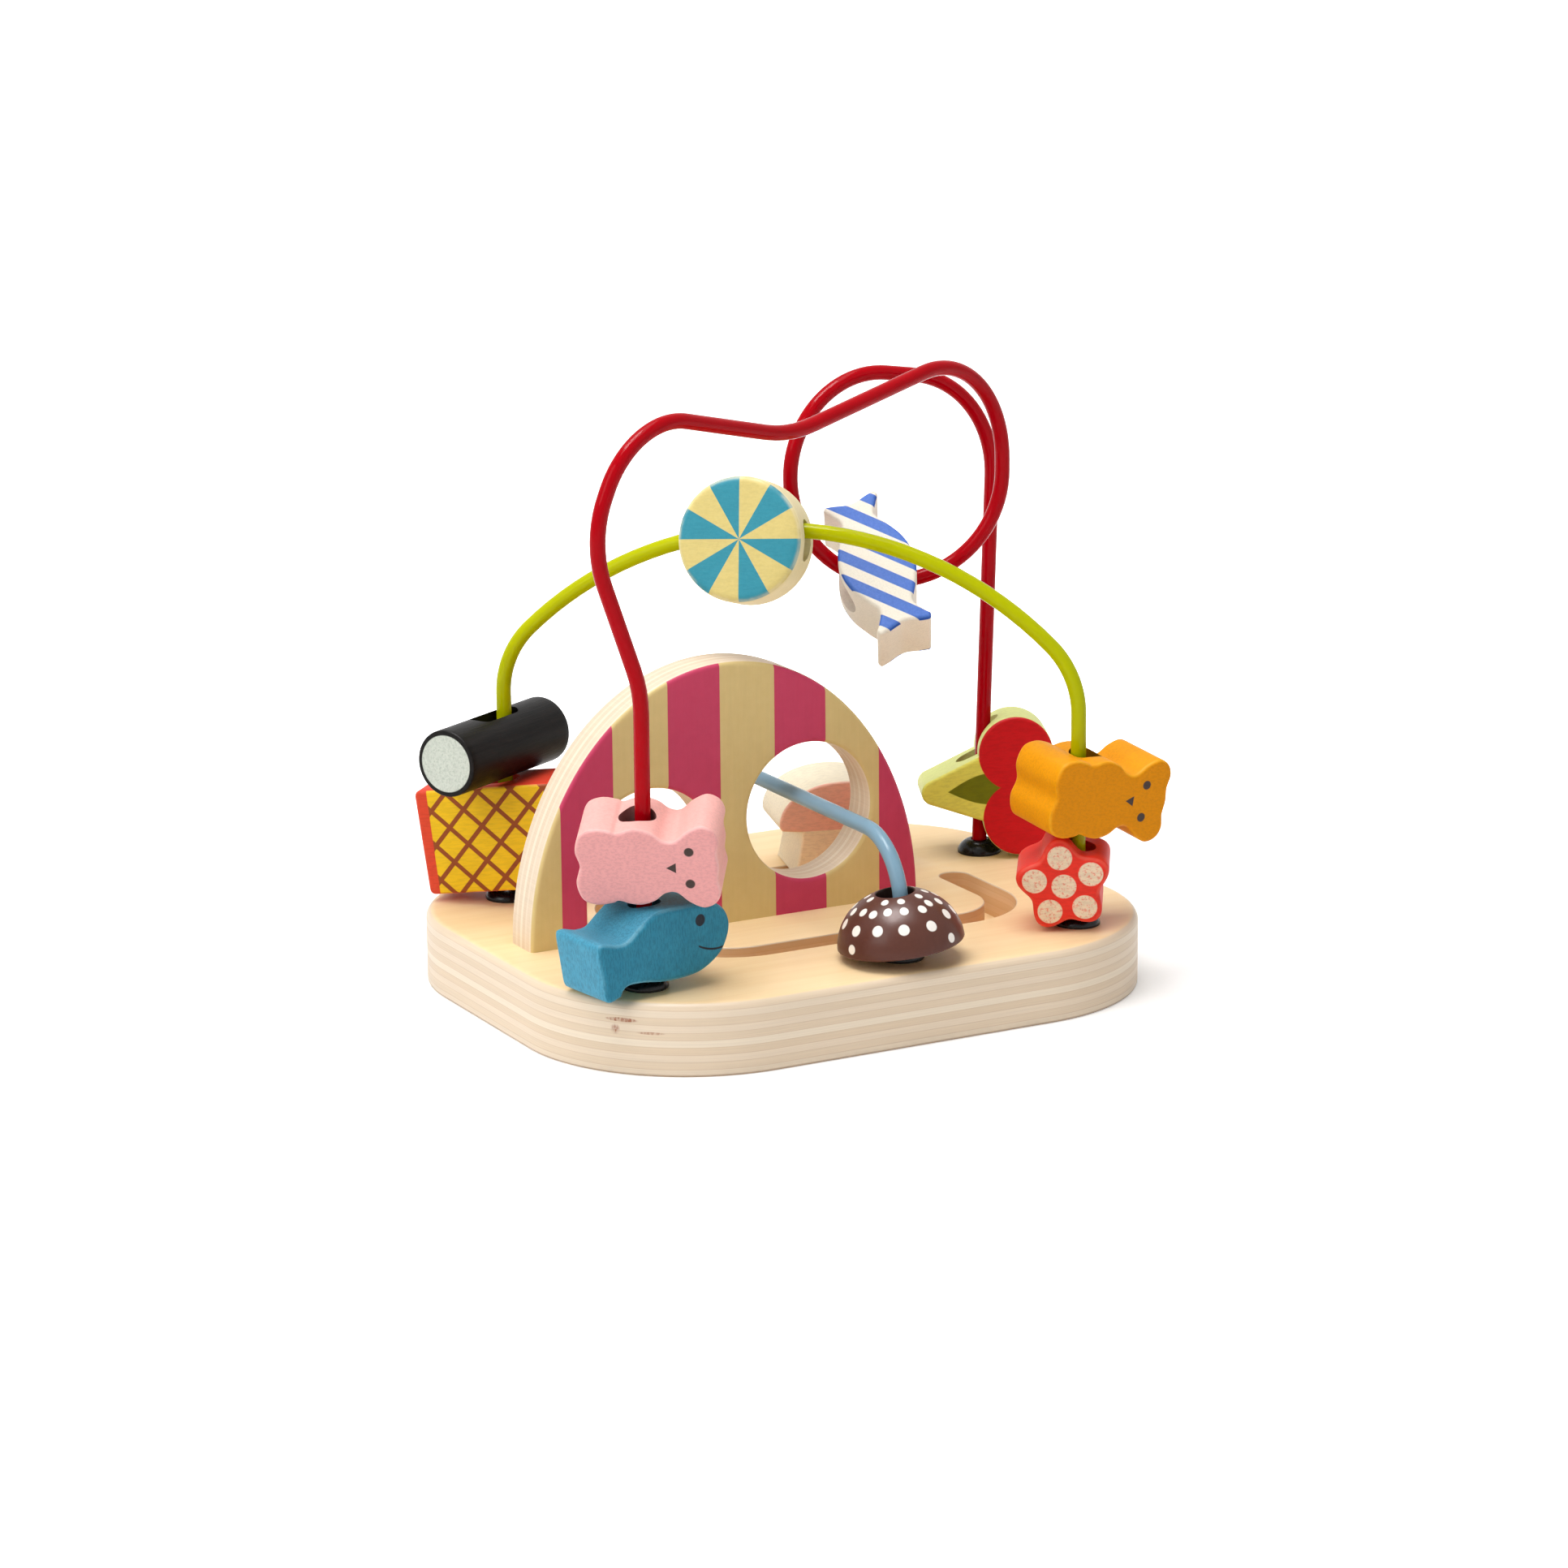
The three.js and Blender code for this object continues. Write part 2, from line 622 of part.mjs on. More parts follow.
function waffleBead() {
  const topHalf = WAFFLE_TOP_WIDTH / 2;
  const footHalf = WAFFLE_BOTTOM_WIDTH / 2;
  const half = WAFFLE_HEIGHT / 2;
  const c = WAFFLE_CORNER;
  const outline = new THREE.Shape();
  outline.moveTo(-footHalf + c, -half);
  outline.lineTo(footHalf - c, -half);
  outline.quadraticCurveTo(footHalf, -half, footHalf + 0.2, -half + c);
  outline.lineTo(topHalf - 0.2, half - c);
  outline.quadraticCurveTo(topHalf, half, topHalf - c, half);
  outline.lineTo(-topHalf + c, half);
  outline.quadraticCurveTo(-topHalf, half, -topHalf + 0.2, half - c);
  outline.lineTo(-footHalf - 0.2, -half + c);
  outline.quadraticCurveTo(-footHalf, -half, -footHalf + c, -half);
  const body = board(outline, WAFFLE_THICK, EDGE_ROUND / 2, 2, 4);
  const bored = cut(body, verticalBore(WAFFLE_BORE_DIA, 2 * WAFFLE_HEIGHT, 0, 0));
  return onLeg(bored, LIME_REAR, WAFFLE);
}

function liquoriceBead() {
  const half = ROLL_LENGTH / 2;
  const body = new THREE.LatheGeometry([
    new THREE.Vector2(0, -half),
    new THREE.Vector2(ROLL_RADIUS - ROLL_CHAMFER, -half),
    new THREE.Vector2(ROLL_RADIUS, -half + ROLL_CHAMFER),
    new THREE.Vector2(ROLL_RADIUS, half - ROLL_CHAMFER),
    new THREE.Vector2(ROLL_RADIUS - ROLL_CHAMFER, half),
    new THREE.Vector2(0, half),
  ], 36);
  body.rotateZ(-Math.PI / 2);
  const slot = verticalSlot(ROLL_SLOT_LENGTH, ROLL_SLOT_WIDTH, 4 * ROLL_RADIUS);
  return onLeg(cut(body, slot), LIME_REAR, ROLL);
}

const limeRun = new THREE.Vector2(LIME_FRONT.x - LIME_REAR.x, LIME_FRONT.y - LIME_REAR.y);
const limeSpan = limeRun.length();
const limeYaw = THREE.MathUtils.radToDeg(limeRun.angle());
const limeCrown = LIME_PEAK - LIME_CROWN_BEND / Math.sin(Math.atan2(limeSpan / 2, LIME_PEAK - LIME_SHOULDER));

// The disc hangs on the crown of the lime arch, its slot square to the wire there.
function discBead() {
  const outline = new THREE.Shape();
  outline.absarc(0, 0, DISC_RADIUS, 0, 2 * Math.PI);
  const body = board(outline, DISC_THICK, EDGE_ROUND, 2, 18);
  const bored = cut(body, crossSlot(DISC_SLOT_HEIGHT, DISC_SLOT_WIDTH, 4 * DISC_RADIUS));
  bored.translate(0, 0, -DISC_DROP);
  const fromMiddle = DISC_ALONG - limeSpan / 2;
  const lean = Math.asin(fromMiddle / LIME_CROWN_BEND);
  const share = DISC_ALONG / limeSpan;
  const at = {
    x: LIME_REAR.x + share * limeRun.x,
    y: LIME_REAR.y + share * limeRun.y,
    z: TOP + limeCrown + LIME_CROWN_BEND * Math.cos(lean),
  };
  const roll = DISC_ROLL_SLACK - THREE.MathUtils.radToDeg(lean);
  return place(bored, at, { yaw: limeYaw + DISC_YAW_SLACK, pitch: DISC_TILT, roll });
}

// The wrapped candy hangs on the bottom of the red loop.
function candyBead() {
  const outline = new THREE.Shape();
  const quarter = [
    [CANDY_BODY_HALF_WIDTH, 0],
    [CANDY_BODY_HALF_WIDTH * 0.9, CANDY_BODY_HALF_LENGTH * 0.45],
    [CANDY_BODY_HALF_WIDTH * 0.66, CANDY_BODY_HALF_LENGTH * 0.85],
    [CANDY_NECK_HALF, CANDY_NECK_AT],
    [CANDY_WING_HALF - 1.4, CANDY_WING_AT - 2.4],
    [CANDY_WING_HALF, CANDY_WING_AT - 0.4],
    [CANDY_WING_HALF - 2.4, CANDY_WING_AT + 0.8],
    [0, CANDY_WING_AT - 0.8],
  ];
  const corners = [[1, 1], [-1, 1], [-1, -1], [1, -1]];
  const loop = [];
  corners.forEach(([sx, sz], k) => {
    const run = k % 2 === 0 ? quarter.slice(0, -1) : quarter.slice().reverse().slice(0, -1);
    for (const [x, z] of run) {
      loop.push(new THREE.Vector2(sx * x, sz * z));
    }
  });
  outline.moveTo(loop[0].x, loop[0].y);
  outline.splineThru([...loop.slice(1), loop[0]]);
  const body = board(outline, CANDY_THICK, CANDY_ROUND, 2, 2);
  const slot = crossSlot(CANDY_SLOT_HEIGHT, CANDY_SLOT_WIDTH, 4 * CANDY_WING_AT);
  slot.translate(0, 0, CANDY_SLOT_UP);
  const bored = cut(body, slot);
  const swing = rad(CANDY_SWING);
  bored.translate(0, CANDY_SLACK_BACK, CANDY_SLACK_UP);
  const at = {
    x: LOOP_X + LOOP_RADIUS * Math.sin(swing) * Math.cos(rad(LOOP_TURN)),
    y: LOOP_Y - LOOP_RADIUS * Math.sin(swing) * Math.sin(rad(LOOP_TURN)),
    z: TOP + LOOP_BOTTOM + LOOP_RADIUS * (1 - Math.cos(swing)),
  };
  return place(bored, at, CANDY);
}

function domeBead() {
  const bore = DOME_BORE_DIA / 2;
  const mouth = bore + DOME_LIP;
  const top = DOME_RISE * Math.sqrt(1 - (mouth / DOME_RADIUS) ** 2);
  const profile = [
    new THREE.Vector2(bore, 0),
    new THREE.Vector2(DOME_RADIUS - DOME_LIP, 0),
  ];
  const steps = 7;
  for (let i = 0; i <= steps; i += 1) {
    const low = Math.asin(DOME_LIP / DOME_RISE);
    const high = Math.asin(top / DOME_RISE);
    const angle = low + (high - low) * i / steps;
    profile.push(new THREE.Vector2(DOME_RADIUS * Math.cos(angle), DOME_RISE * Math.sin(angle)));
  }
  profile.push(new THREE.Vector2(bore, top - DOME_LIP));
  profile.push(new THREE.Vector2(bore, 0));
  const body = new THREE.LatheGeometry(profile, 32);
  body.rotateX(Math.PI / 2);
  return onLeg(geometryOf(solid(body)), feet.blue_front, DOME);
}

// The mushroom stands on the base and its round peg runs in the track.
function mushroomBead() {
  const foot = REST_GAP;
  const high = MUSHROOM_HEIGHT;
  const outline = new THREE.Shape();
  outline.moveTo(-STEM_FOOT_HALF, foot);
  outline.lineTo(STEM_FOOT_HALF, foot);
  outline.quadraticCurveTo(STEM_TOP_HALF + 0.6, CAP_RIM * 0.5, STEM_TOP_HALF, CAP_RIM - 0.6);
  outline.lineTo(CAP_HALF_WIDTH - 1.2, CAP_RIM);
  outline.quadraticCurveTo(CAP_HALF_WIDTH, CAP_RIM + 0.6, CAP_HALF_WIDTH, CAP_RIM + 2.6);
  outline.bezierCurveTo(CAP_HALF_WIDTH - 0.6, high - 4.4, CAP_HALF_WIDTH * 0.5, high, 0, high);
  outline.bezierCurveTo(-CAP_HALF_WIDTH * 0.5, high, -CAP_HALF_WIDTH + 0.6, high - 4.4,
    -CAP_HALF_WIDTH, CAP_RIM + 2.6);
  outline.quadraticCurveTo(-CAP_HALF_WIDTH, CAP_RIM + 0.6, -CAP_HALF_WIDTH + 1.2, CAP_RIM);
  outline.lineTo(-STEM_TOP_HALF, CAP_RIM - 0.6);
  outline.quadraticCurveTo(-STEM_TOP_HALF - 0.6, CAP_RIM * 0.5, -STEM_FOOT_HALF, foot);
  const body = board(outline, MUSHROOM_THICK, EDGE_ROUND / 2, 2, 7);
  const pegRadius = TRACK_WIDTH / 2 - PEG_CLEAR;
  const peg = new THREE.CylinderGeometry(pegRadius, pegRadius, PEG_LENGTH + 3, BORE_SIDES);
  peg.rotateX(Math.PI / 2);
  peg.translate(0, 0, 3 + foot - (PEG_LENGTH + 3) / 2);
  return place(join(body, peg), { x: MUSHROOM_X, y: TRACK_BACK_Y, z: TOP }, { yaw: MUSHROOM_YAW, pitch: 0, roll: 0 });
}

// Colours and finish
function finish(color, roughness) {
  return new THREE.MeshStandardMaterial({ color, roughness, metalness: 0 });
}

const plywood = finish(0xe9c48f, 0.55);
const black = finish(0x16140f, 0.3);
const pieces = [
  ['base_board', baseBoard(), plywood],
  ['arch_panel', archPanel(), finish(0xb4304e, 0.6)],
  ['wire_red', redWire(), finish(0xb00414, 0.2)],
  ['wire_lime', limeWire(), finish(0xb7bf10, 0.25)],
  ['wire_blue', blueWire(), finish(0x9fbccd, 0.22)],
  ['bead_fish', fishBead(), finish(0x2f7f9e, 0.5)],
  ['bead_bear_pink', bearBead(RED_FRONT, PINK_BEAR), finish(0xe8a3a2, 0.5)],
  ['bead_wrapped_candy', candyBead(), finish(0xf2ead9, 0.55)],
  ['bead_cherries', cherryBead(), finish(0xb21a1a, 0.5)],
  ['bead_waffle', waffleBead(), finish(0xd8a420, 0.5)],
  ['bead_liquorice', liquoriceBead(), finish(0x2a2522, 0.5)],
  ['bead_disc', discBead(), finish(0xe6d18a, 0.5)],
  ['bead_bear_orange', bearBead(LIME_FRONT, ORANGE_BEAR), finish(0xd08a12, 0.5)],
  ['bead_flower', flowerBead(), finish(0xd83a30, 0.5)],
  ['bead_dome', domeBead(), finish(0x6b4038, 0.4)],
  ['bead_mushroom', mushroomBead(), finish(0xd27a62, 0.5)],
];
for (const [name, foot] of Object.entries(feet)) {
  pieces.push([`collar_${name}`, collar(foot), black]);
}

const group = new THREE.Group();
group.name = 'bead_frame';
const box = new THREE.Box3();
for (const [name, geometry, material] of pieces) {
  geometry.computeBoundingBox();
  box.union(geometry.boundingBox);
}
const middle = box.getCenter(new THREE.Vector3());
for (const [name, geometry, material] of pieces) {
  geometry.translate(-middle.x, -middle.y, -box.min.z);
  const mesh = new THREE.Mesh(geometry, material);
  mesh.name = name;
  group.add(mesh);
}

export default group;
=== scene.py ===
"""Looks of the bead frame: painted wooden beads on bent wires, over a plywood base with a striped arch panel.

Lengths are millimetres until a piece is settled into the frame, which is in metres. A bead is drawn in its
own frame, X to the right, Z up and its printed face towards -Y, then turned and moved to its wire.
"""

import json
import math

import bpy
import numpy as np
from mathutils import Matrix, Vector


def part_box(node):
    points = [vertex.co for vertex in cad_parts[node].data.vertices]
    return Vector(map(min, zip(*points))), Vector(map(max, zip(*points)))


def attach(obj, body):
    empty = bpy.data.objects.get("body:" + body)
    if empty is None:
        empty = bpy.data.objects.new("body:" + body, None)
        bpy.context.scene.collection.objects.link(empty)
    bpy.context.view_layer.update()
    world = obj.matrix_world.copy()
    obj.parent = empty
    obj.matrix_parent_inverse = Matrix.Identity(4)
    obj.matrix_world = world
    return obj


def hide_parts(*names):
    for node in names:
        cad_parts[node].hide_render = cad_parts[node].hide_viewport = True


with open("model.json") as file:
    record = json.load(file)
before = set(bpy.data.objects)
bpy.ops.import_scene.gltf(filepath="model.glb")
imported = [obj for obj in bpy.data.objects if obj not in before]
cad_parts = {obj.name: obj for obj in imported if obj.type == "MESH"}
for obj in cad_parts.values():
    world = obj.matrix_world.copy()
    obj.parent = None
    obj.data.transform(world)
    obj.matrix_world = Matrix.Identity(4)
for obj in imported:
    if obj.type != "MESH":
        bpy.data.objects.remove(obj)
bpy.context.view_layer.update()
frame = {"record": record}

MM = 0.001
UPRIGHT = (0, 0, 1)
SHARP_TURN = math.radians(30.0)

BASE_LENGTH, BASE_WIDTH, BASE_THICK = 194.5, 163.0, 21.4
BASE_CORNER, BASE_ROUND, BASE_PLIES = 52.0, 2.6, 10
TOP = BASE_THICK
TRACK_WIDTH, TRACK_DEPTH, TRACK_BEND, TRACK_LIP = 9.5, 10.0, 20.6, 0.5
TRACK_RIGHT_X, TRACK_FRONT_Y, TRACK_BACK_Y = 62.2, -38.0, 35.5
TRACK_FRONT_END_Y, TRACK_BACK_END_X = 4.0, 58.0
# Knots on the front edge of the base: X, Z, half width, half height and strength of each
KNOTS = [(-84.6, 16.0, 3.0, 0.6, 0.8), (-86.0, 13.2, 0.6, 1.0, 0.95), (-78.6, 12.6, 3.0, 0.4, 0.5)]

PANEL_X, PANEL_FRONT_Y, PANEL_THICK = -21.9, -7.9, 13.4
PANEL_HALF_WIDTH, PANEL_HEIGHT, PANEL_ROUND, PANEL_PLIES = 64.2, 78.7, 1.4, 9
DOOR_X, DOOR_HALF_WIDTH, DOOR_SPRING = -46.6, 20.8, 22.9
WINDOW_X, WINDOW_Z, WINDOW_RADIUS = 5.7, 30.6, 20.6
STRIPE_PITCH, STRIPE_WIDTH, STRIPE_START = 35.0, 17.15, -41.0

WIRE_RADIUS, WIRE_SIDES, ROD_SIDES = 2.25, 24, 48
SEAT_DEPTH, SEAT_CLEAR, REST_GAP = 14.0, 0.2, 0.3
COLLAR_RADIUS, COLLAR_HEIGHT, COLLAR_SHOULDER = 6.7, 4.2, 0.8
RED_HEIGHT = 164.8
RED_FRONT = np.array([-BASE_LENGTH / 2 + 24.75, -BASE_WIDTH / 2 + 27.5])
RED_REAR = np.array([BASE_LENGTH / 2 - 14.35, BASE_WIDTH / 2 - 56.8])
LIME_REAR = np.array([-BASE_LENGTH / 2 + 31.05, BASE_WIDTH / 2 - 31.8])
LIME_FRONT = np.array([BASE_LENGTH / 2 - 30.55, -BASE_WIDTH / 2 + 21.9])
LIME_SHOULDER, LIME_PEAK, LIME_SHOULDER_BEND, LIME_CROWN_BEND = 75.0, 160.1, 28.0, 110.6
BLUE_FRONT = np.array([4.4, -BASE_WIDTH / 2 + 16.9])
BLUE_REAR = np.array([4.4, BASE_WIDTH / 2 - 19.4])
BLUE_HEIGHT, BLUE_BEND = 34.2, 20.0
LOOP_CENTRE, LOOP_RADIUS, LOOP_TURN = np.array([46.4, 11.4]), 32.2, math.radians(18)
LOOP_BOTTOM = 0.5583 * RED_HEIGHT
FEET = {"red_front": RED_FRONT, "red_rear": RED_REAR, "lime_rear": LIME_REAR, "lime_front": LIME_FRONT,
        "blue_front": BLUE_FRONT, "blue_rear": BLUE_REAR}

EDGE_ROUND, SOFT_ROUND, BORE_REACH = 1.1, 2.0, 90
FISH_THICK, FISH_AHEAD, FISH_BEHIND, FISH_BACK = 22.4, 21.8, 23.6, 26.3
FISH_ROUND, FISH_TAIL_EASE, FISH_BORE = 1.5, 3.6, 4.7
FISH_EYE = (11.3, 21.4, 1.65, 1.75)
FISH_SMILE_X, FISH_SMILE_Z, FISH_SMILE_CURVE, FISH_SMILE_ENDS = 16.9, 12.2, 0.0445, (10.7, 19.3)
BEAR_THICK, BEAR_LENGTH, BEAR_BORE_X, BEAR_BORE = 22.4, 40.4, -3.4, 5.3
BEAR_EYE_X, BEAR_EYE_Z, BEAR_EYE = 11.8, 4.9, 1.35
BEAR_NOSE_X, BEAR_NOSE_LENGTH, BEAR_NOSE_WIDTH = 5.25, 2.75, 1.55
FLOWER_THICK, FLOWER_RADIUS, FLOWER_LOBE, FLOWER_ROUND = 22.0, 12.4, 1.8, 1.7
FLOWER_LOBES, FLOWER_TURN, FLOWER_BORE_X, FLOWER_BORE = 5, math.radians(98.5), 3.3, 5.8
FLOWER_DOT, FLOWER_DOT_REACH = 3.6, 8.7
CHERRY_THICK, CHERRY_BACK, CHERRY_LOBE = 20.4, 1.4, 11.5
CHERRY_LOBE_X, CHERRY_LOBE_Z = 11.0, 10.1
CHERRY_LEAF_X, CHERRY_LEAF_LENGTH, CHERRY_LEAF_WIDTH = -10.7, 13.7, 4.9
WAFFLE_TOP, WAFFLE_FOOT, WAFFLE_HEIGHT, WAFFLE_THICK = 47.0, 46.0, 32.0, 21.6
WAFFLE_CORNER, WAFFLE_ROUND, WAFFLE_BAND, WAFFLE_BORE = 2.0, 1.0, 3.95, 6.2
# The two runs of the waffle's lattice: rise and start of each
WAFFLE_LATTICE_PITCH, WAFFLE_LATTICE = 10.35, [(0.976, 107.7), (-0.976, 105.8)]
ROLL_RADIUS, ROLL_LENGTH, ROLL_ROUND, ROLL_RIM = 10.0, 50.0, 0.6, 1.5
DISC_RADIUS, DISC_THICK, DISC_ALONG, DISC_PAIRS = 18.5, 17.0, 74.0, 6
CANDY_THICK, CANDY_SWING = 22.4, math.radians(-11)
CANDY_STRIPE_PITCH, CANDY_STRIPE_START, CANDY_STRIPE_WAY = 6.95, 74.2, (0.743, 0.669)
DOME_RADIUS, DOME_RISE, DOME_BORE, DOME_LIP = 18.4, 16.2, 5.4, 0.6
# Rings of dots on the dome: degrees up the side, number of dots, radius and offset of each
DOT_RINGS = [(13.0, 3, 1.4, 0.79), (31.0, 13, 1.6, 0.5), (49.0, 16, 1.3, 0.0), (64.0, 9, 1.1, 0.4)]
MUSHROOM_X, MUSHROOM_THICK, MUSHROOM_HEIGHT, MUSHROOM_HALF_WIDTH = 37.6, 26.0, 28.9, 19.7
MUSHROOM_ROUND, MUSHROOM_PRINT_ROUND, CAP_RIM = 0.8, 1.0, 14.2

VIEW_TURN, VIEW_RISE, VIEW_ROLL = math.radians(-28.213), math.radians(14.370), math.radians(-0.478)
VIEW_DISTANCE, VIEW_ASIDE, VIEW_UP = 1477.8, 33.04, 63.98
VIEW_FROM = np.array([40.97, 7.875, 0.0])
FOCAL_PIXELS, FRAME_PIXELS, SENSOR = 6202.2, 1932.0, 36.0
# Soft boxes: name, place and width in metres, power in watts, and whether it lights only the gloss
LAMPS = [("key", (-1.35, -0.35, 0.95), 0.9, 10.0, False), ("front", (0.85, -1.6, 0.7), 1.6, 2.4, False),
         ("top", (-0.22, 0.05, 1.65), 1.3, 25.5, False), ("glint", (-0.35, 0.0, 1.6), 0.7, 38.0, True)]
LAMP_AIM = (0, 0, 0.08)
FLOOR_SIZE, FLOOR_LIFT, SHADOW_REACH, SKY_LEVEL = 6.0, 0.2, (0.14, 0.32), 0.3

base_low, base_high = np.array(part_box("base_board")) / MM
ORIGIN = np.array([(base_low[0] + base_high[0]) / 2, (base_low[1] + base_high[1]) / 2, base_low[2]])


# Outlines and paths

def unit(vector):
    """The vector or vectors divided by their length."""
    return vector / np.linalg.norm(vector, axis=-1, keepdims=True)


def arc(x, z, radius, start, end, count, stretch=1.0):
    """Points of an arc about (x, z): radius times (cos, stretch times sin) of even angles in degrees."""
    angle = np.radians(np.linspace(start, end, count))
    return np.stack([x + radius * np.cos(angle), z + radius * stretch * np.sin(angle)], axis=1)


def spline(points, closed=True, steps=8):
    """A curve through the points: cubic spans whose end slopes are half the chord of the neighbours."""
    points = np.asarray(points, float)
    if closed:
        p0, p1 = np.roll(points, 1, axis=0), points
        p2, p3 = np.roll(points, -1, axis=0), np.roll(points, -2, axis=0)
    else:
        padded = np.concatenate([points[:1], points, points[-1:]])
        p0, p1, p2, p3 = padded[:-3], padded[1:-2], padded[2:-1], padded[3:]
    t = (np.arange(steps) / steps)[None, :, None]
    p0, p1, p2, p3 = (p[:, None] for p in (p0, p1, p2, p3))
    slope0, slope1 = (p2 - p0) / 2, (p3 - p1) / 2
    curve = (2 * t**3 - 3 * t**2 + 1) * p1 + (t**3 - 2 * t**2 + t) * slope0
    curve = curve + (3 * t**2 - 2 * t**3) * p2 + (t**3 - t**2) * slope1
    curve = curve.reshape(-1, points.shape[1])
    return curve if closed else np.concatenate([curve, points[-1:]])


def bezier(points, count=14):
    """A curve from the first to the last control point, as the binomial blend of all of them."""
    points = np.asarray(points, float)
    degree = len(points) - 1
    t = np.linspace(0, 1, count)[:, None]
    order = np.arange(degree + 1)[None]
    blend = np.array([[math.comb(degree, k) for k in range(degree + 1)]])
    return (blend * t**order * (1 - t) ** (degree - order)) @ points


def eased(before, corner, after, reach):
    """A corner of an outline softened: a curve that leaves each side at the given reach from the corner."""
    return bezier([corner + reach * unit(before - corner), corner, corner + reach * unit(after - corner)], 9)


def cut_evenly(length, longest):
    """(edge, share) of the points that cut each edge into equal steps no longer than the given length."""
    steps = np.maximum(np.ceil(length / longest).astype(int), 1)
    edge = np.repeat(np.arange(len(length)), steps)
    first = np.repeat(np.cumsum(steps) - steps, steps)
    return edge, ((np.arange(len(edge)) - first) / steps[edge])[:, None]


def spaced(outline, longest=1.6):
    """The closed outline with each edge cut into equal steps no longer than the given length."""
    ahead = np.roll(outline, -1, axis=0)
    length = np.linalg.norm(ahead - outline, axis=1)
    keep = length > 1e-4
    outline, ahead, length = outline[keep], ahead[keep], length[keep]
    edge, share = cut_evenly(length, longest)
    return outline[edge] + share * (ahead - outline)[edge]


def bent_path(corners, bends, step_angle=4.0, step_length=4.0):
    """Stations (point, direction) of a wire: straight runs joined by arcs of each corner's bend radius.

    An arc starts where the corner's run of radius times tan(half turn) begins, and its centre lies on the
    bisector at radius over cos(half turn).
    """
    corners = np.asarray(corners, float)
    places, ways = [corners[:1]], [unit(corners[1:2] - corners[:1])]
    for before, corner, after, radius in zip(corners[:-2], corners[1:-1], corners[2:], bends):
        back, ahead = unit(before - corner), unit(after - corner)
        turn = math.pi - math.acos(np.clip(back @ ahead, -1, 1))
        start = corner + back * radius * math.tan(turn / 2)
        centre = corner + unit(back + ahead) * radius / math.cos(turn / 2)
        spoke, along = unit(start - centre), -back
        angle = np.linspace(0, turn, max(int(math.degrees(turn) / step_angle), 2) + 1)[:, None]
        places.append(centre + radius * (spoke * np.cos(angle) + along * np.sin(angle)))
        ways.append(along * np.cos(angle) - spoke * np.sin(angle))
    places.append(corners[-1:])
    ways.append(unit(corners[-1:] - corners[-2:-1]))
    place, way = np.concatenate(places), np.concatenate(ways)
    edge, share = cut_evenly(np.linalg.norm(np.diff(place, axis=0), axis=1), step_length)
    fine_place = place[edge] + share * np.diff(place, axis=0)[edge]
    fine_way = unit(way[edge] + share * np.diff(way, axis=0)[edge])
    return np.concatenate([fine_place, place[-1:]]), np.concatenate([fine_way, way[-1:]])


# Surfaces

def mesh_object(name, points, faces):
    """An object that holds the points and faces as they are."""
    mesh = bpy.data.meshes.new(name)
    mesh.from_pydata(points.tolist(), [], faces)
    piece = bpy.data.objects.new(name, mesh)
    bpy.context.scene.collection.objects.link(piece)
    return piece


def ring_faces(rows, columns, close_rows=False):
    """Four-cornered faces between neighbouring rings, each ring closed on itself."""
    row = np.arange(rows if close_rows else rows - 1)[:, None]
    column = np.arange(columns)[None]
    after, beside = (row + 1) % rows, (column + 1) % columns
    corners = [row * columns + column, after * columns + column,
               after * columns + beside, row * columns + beside]
    return np.stack(np.broadcast_arrays(*corners), axis=-1).reshape(-1, 4).tolist()


def capped_faces(rows, columns):
    """The faces of a run of rings, with a flat cap on the first and on the last ring."""
    first = list(range(columns))
    last = list(range(rows * columns - 1, (rows - 1) * columns - 1, -1))
    return ring_faces(rows, columns) + [first, last]


def room_inside(outline, deepest):
    """The share of the deepest step in that each point has room for.

    A convex bend has room for most of its radius, the run over the turn, and the room grows again along
    the outline at a fixed slope away from each sharp bend.
    """
    bend_share, slope, passes = 0.35, 0.5, 24
    ahead = np.roll(outline, -1, axis=0) - outline
    behind = np.roll(ahead, 1, axis=0)
    cross = behind[:, 0] * ahead[:, 1] - behind[:, 1] * ahead[:, 0]
    turn = np.arctan2(cross, np.sum(behind * ahead, axis=1))
    length = np.linalg.norm(ahead, axis=1)
    room = bend_share * (length + np.roll(length, 1)) / np.maximum(turn, 0.01)
    for _ in range(passes):
        room = np.minimum(room, np.roll(room + slope * length, 1))
        room = np.minimum(room, np.roll(room, -1) + slope * length)
    return np.minimum(room / max(deepest, 0.01), 1.0)


def plate(name, outline, profile, lying=False):
    """A closed plate: the outline moved out by profile[:, 0] at the depth profile[:, 1], with flat end caps.

    A point's way out is the sum of its two edge normals over 1 plus their cosine, so both edges move alike.
    A lying plate has its outline in X and Y and its first ring on top.
    """
    turn = np.sum(outline[:, 0] * np.roll(outline[:, 1], -1) - np.roll(outline[:, 0], -1) * outline[:, 1])
    outline = outline if turn > 0 else outline[::-1]
    ahead = unit(np.roll(outline, -1, axis=0) - outline)
    normal = np.stack([ahead[:, 1], -ahead[:, 0]], axis=1)
    before = np.roll(normal, 1, axis=0)
    way_out = (normal + before) / np.maximum(1 + np.sum(normal * before, axis=1, keepdims=True), 0.5)
    out = profile[:, 0, None]
    step_out = out * np.where(out < 0, room_inside(outline, -out.min()), 1.0)
    rings = outline[None] + step_out[..., None] * way_out[None]
    depth = np.broadcast_to(profile[:, 1, None], rings.shape[:2])
    axes = [rings[..., 0], rings[..., 1], -depth] if lying else [rings[..., 0], depth, rings[..., 1]]
    return mesh_object(name, np.stack(axes, axis=-1).reshape(-1, 3), capped_faces(*rings.shape[:2]))


